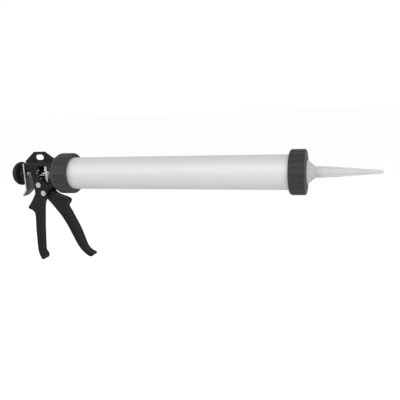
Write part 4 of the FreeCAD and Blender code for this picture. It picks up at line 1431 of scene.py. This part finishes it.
@dataclass
class RatchetAssembly(SubAssembly):
    """Gripping plates, their springs and the release lever."""

    def build(self) -> None:
        """Make, dress and seat every piece."""
        for node in ("rear_gripping_plate", "front_gripping_plate"):
            eased = cad_copy(node, node + "_eased")
            soften(eased, 0.35)
            self.fit(eased, "plates", Finish.ZINC, node)
        self.keep(Finish.ZINC, "spring_washer")
        self.build_lever()
        self.build_spring("drive_spring", 6.7, 0.65, 6.5, "trigger_pivot", 0.44)
        self.build_spring("catch_spring", 6.3, 0.55, 5.0, "release_lever_tilt", 0.7)

    def build_lever(self) -> None:
        """Pressed steel release lever: its broad faces get a darker zinc as painted shade, and its sheared
        edges get the plain zinc.
        """
        lever = cad_copy("release_lever", "release_lever_pressed")
        soften(lever, 0.5)
        self.fit(lever, "lever", Finish.LEVER_PAINTED_SHADE, "release_lever")
        lever.data.materials.append(self.wardrobe.materials[Finish.ZINC])
        for face in lever.data.polygons:
            # Faces that point across the gun (its edges) take plain zinc; all other faces take the darker
            # zinc, painted shade.
            face.material_index = int(abs(face.normal.y) > 0.9)

    def build_spring(
        self, node: str, coil: float, wire: float, turns: float, joint: str, keep: float,
    ) -> None:
        """Coil spring with closed ends that shortens with a joint.

        Args:
            node: CAD node that it stands for.
            coil: Radius to the middle of the wire, in millimetres.
            wire: Radius of the wire, in millimetres.
            turns: Turns of the coil, the closed ends included.
            joint: Name of a joint; not used.
            keep: Share of its length left at the joint's limit; not used.
        """
        low, high = box_mm(node)
        start, end = low.x + wire, high.x - wire
        closed = 1.0
        shape = bmesh.new()
        around, steps = 12, int(turns * 40)
        rise = (end - start - 2 * closed * 2 * wire) / (turns - 2 * closed)
        rings = []
        for step in range(steps + 1):
            turn = turns * step / steps
            x = start + min(turn, closed) * 2 * wire
            x += max(0.0, min(turn, turns - closed) - closed) * rise
            x += max(0.0, turn - (turns - closed)) * 2 * wire
            angle = 2 * math.pi * turn
            outward = Vector((0.0, math.cos(angle), math.sin(angle)))
            middle = Vector((x, 0.0, 0.0)) + outward * coil
            ring = []
            for k in range(around):
                spin = 2 * math.pi * k / around
                offset = outward * math.cos(spin) + Vector((1.0, 0.0, 0.0)) * math.sin(spin)
                ring.append(shape.verts.new((middle + offset * wire) * MM))
            rings.append(ring)
        for first, second in zip(rings, rings[1:]):
            for k in range(around):
                shape.faces.new((first[k], first[(k + 1) % around], second[(k + 1) % around], second[k]))
        shape.faces.new(rings[0])
        shape.faces.new(rings[-1])
        bmesh.ops.recalc_face_normals(shape, faces=shape.faces)
        spring = solid(node + "_coil", shape)
        shade_smooth(spring, 60.0)
        self.fit(spring, "frame", Finish.SPRING, node)
        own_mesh(spring)


# ------------------------------------------------------------------ studio

@dataclass
class Studio:
    """Floor, lights, backdrop and camera."""

    wardrobe: Wardrobe
    floor_drop: float = 0.16
    azimuth: float = 17.71
    elevation: float = 12.0
    roll: float = 0.0125
    focal: float = 1.2875
    distance: float = 0.790
    aim_from_tip: float = 0.2656
    aim_rise: float = 0.0532816
    ambience: float = 0.64

    def build(self) -> None:
        """Make the whole studio."""
        self.build_floor()
        self.build_world()
        self.build_lights()
        self.build_camera()

    def build_floor(self) -> None:
        """Wide pale floor under the gun."""
        half = 12.0
        level = CAD_BOX[0].z - self.floor_drop
        mesh = bpy.data.meshes.new("floor")
        corners = [(-half, -half, level), (half, -half, level), (half, half, level), (-half, half, level)]
        mesh.from_pydata(corners, [], [(0, 1, 2, 3)])
        floor = link_mesh("floor", mesh)
        floor.data.materials.append(self.wardrobe.floor)

    def build_world(self) -> None:
        """White backdrop that lights the gun more softly than it looks."""
        world = bpy.data.worlds.new("studio_white")
        world.use_nodes = True
        tree = world.node_tree
        background = tree.nodes["Background"]
        background.inputs["Color"].default_value = (1.0, 1.0, 1.0, 1.0)
        path = tree.nodes.new("ShaderNodeLightPath")
        seen = maths(tree, "MAXIMUM", path.outputs["Is Camera Ray"], path.outputs["Is Transmission Ray"])
        strength = maths(tree, "MULTIPLY_ADD", seen, 1.02 - self.ambience, self.ambience)
        tree.links.new(strength, background.inputs["Strength"])
        scene = bpy.context.scene
        scene.world = world
        scene.view_settings.view_transform = "Standard"
        scene.view_settings.look = "None"

    def build_lights(self) -> None:
        """Soft area lamps: a large key above in front, a fill to the front left and a strip to the front
        right.
        """
        centre = (CAD_BOX[0] + CAD_BOX[1]) / 2
        for name, offset, size, power in (
            ("key", Vector((0.0, -1.4, 0.95)), (3.2, 1.0), 10.5),
            ("left_fill", Vector((-1.5, -0.8, 0.35)), (0.8, 0.8), 2.5),
            ("right_strip", Vector((1.0, -0.95, 0.15)), (0.25, 1.0), 3.0),
        ):
            lamp = bpy.data.lights.new(name, "AREA")
            lamp.shape = "RECTANGLE"
            lamp.size, lamp.size_y = size
            lamp.energy = power
            holder = bpy.data.objects.new(name, lamp)
            holder.location = centre + offset
            holder.rotation_euler = (-offset).to_track_quat("-Z", "Y").to_euler()
            bpy.context.scene.collection.objects.link(holder)

    def build_camera(self) -> None:
        """Camera a little in front of the gun's middle, looking slightly down."""
        turn, tilt = math.radians(self.azimuth), math.radians(self.elevation)
        forward = Vector((-math.sin(turn), math.cos(turn) * math.cos(tilt), -math.cos(turn) * math.sin(tilt)))
        right = Vector((math.cos(turn), math.sin(turn) * math.cos(tilt), -math.sin(turn) * math.sin(tilt)))
        up = right.cross(forward)
        rolled_right = right * math.cos(self.roll) + up * math.sin(self.roll)
        rolled_up = up * math.cos(self.roll) - right * math.sin(self.roll)
        aim = Vector((CAD_BOX[1].x - self.aim_from_tip, 0.0, 0.0))
        place = aim - self.distance * (forward + rolled_up * self.aim_rise)
        camera = bpy.data.cameras.new("camera")
        camera.sensor_width = 36.0
        camera.lens = camera.sensor_width * self.focal
        holder = bpy.data.objects.new("camera", camera)
        axes = Matrix((rolled_right, rolled_up, -forward)).transposed()
        holder.matrix_world = Matrix.Translation(place) @ axes.to_4x4()
        bpy.context.scene.collection.objects.link(holder)
        bpy.context.scene.camera = holder


def main() -> None:
    logging.basicConfig(level=logging.INFO, format="%(message)s")
    wardrobe = Wardrobe()
    Studio(wardrobe).build()
    for assembly in (
        BarrelAssembly, NozzleAssembly, RodAssembly, HousingAssembly, GripAssembly, FastenerAssembly,
        RatchetAssembly,
    ):
        assembly(wardrobe).build()


if __name__ == "__main__":
    main()
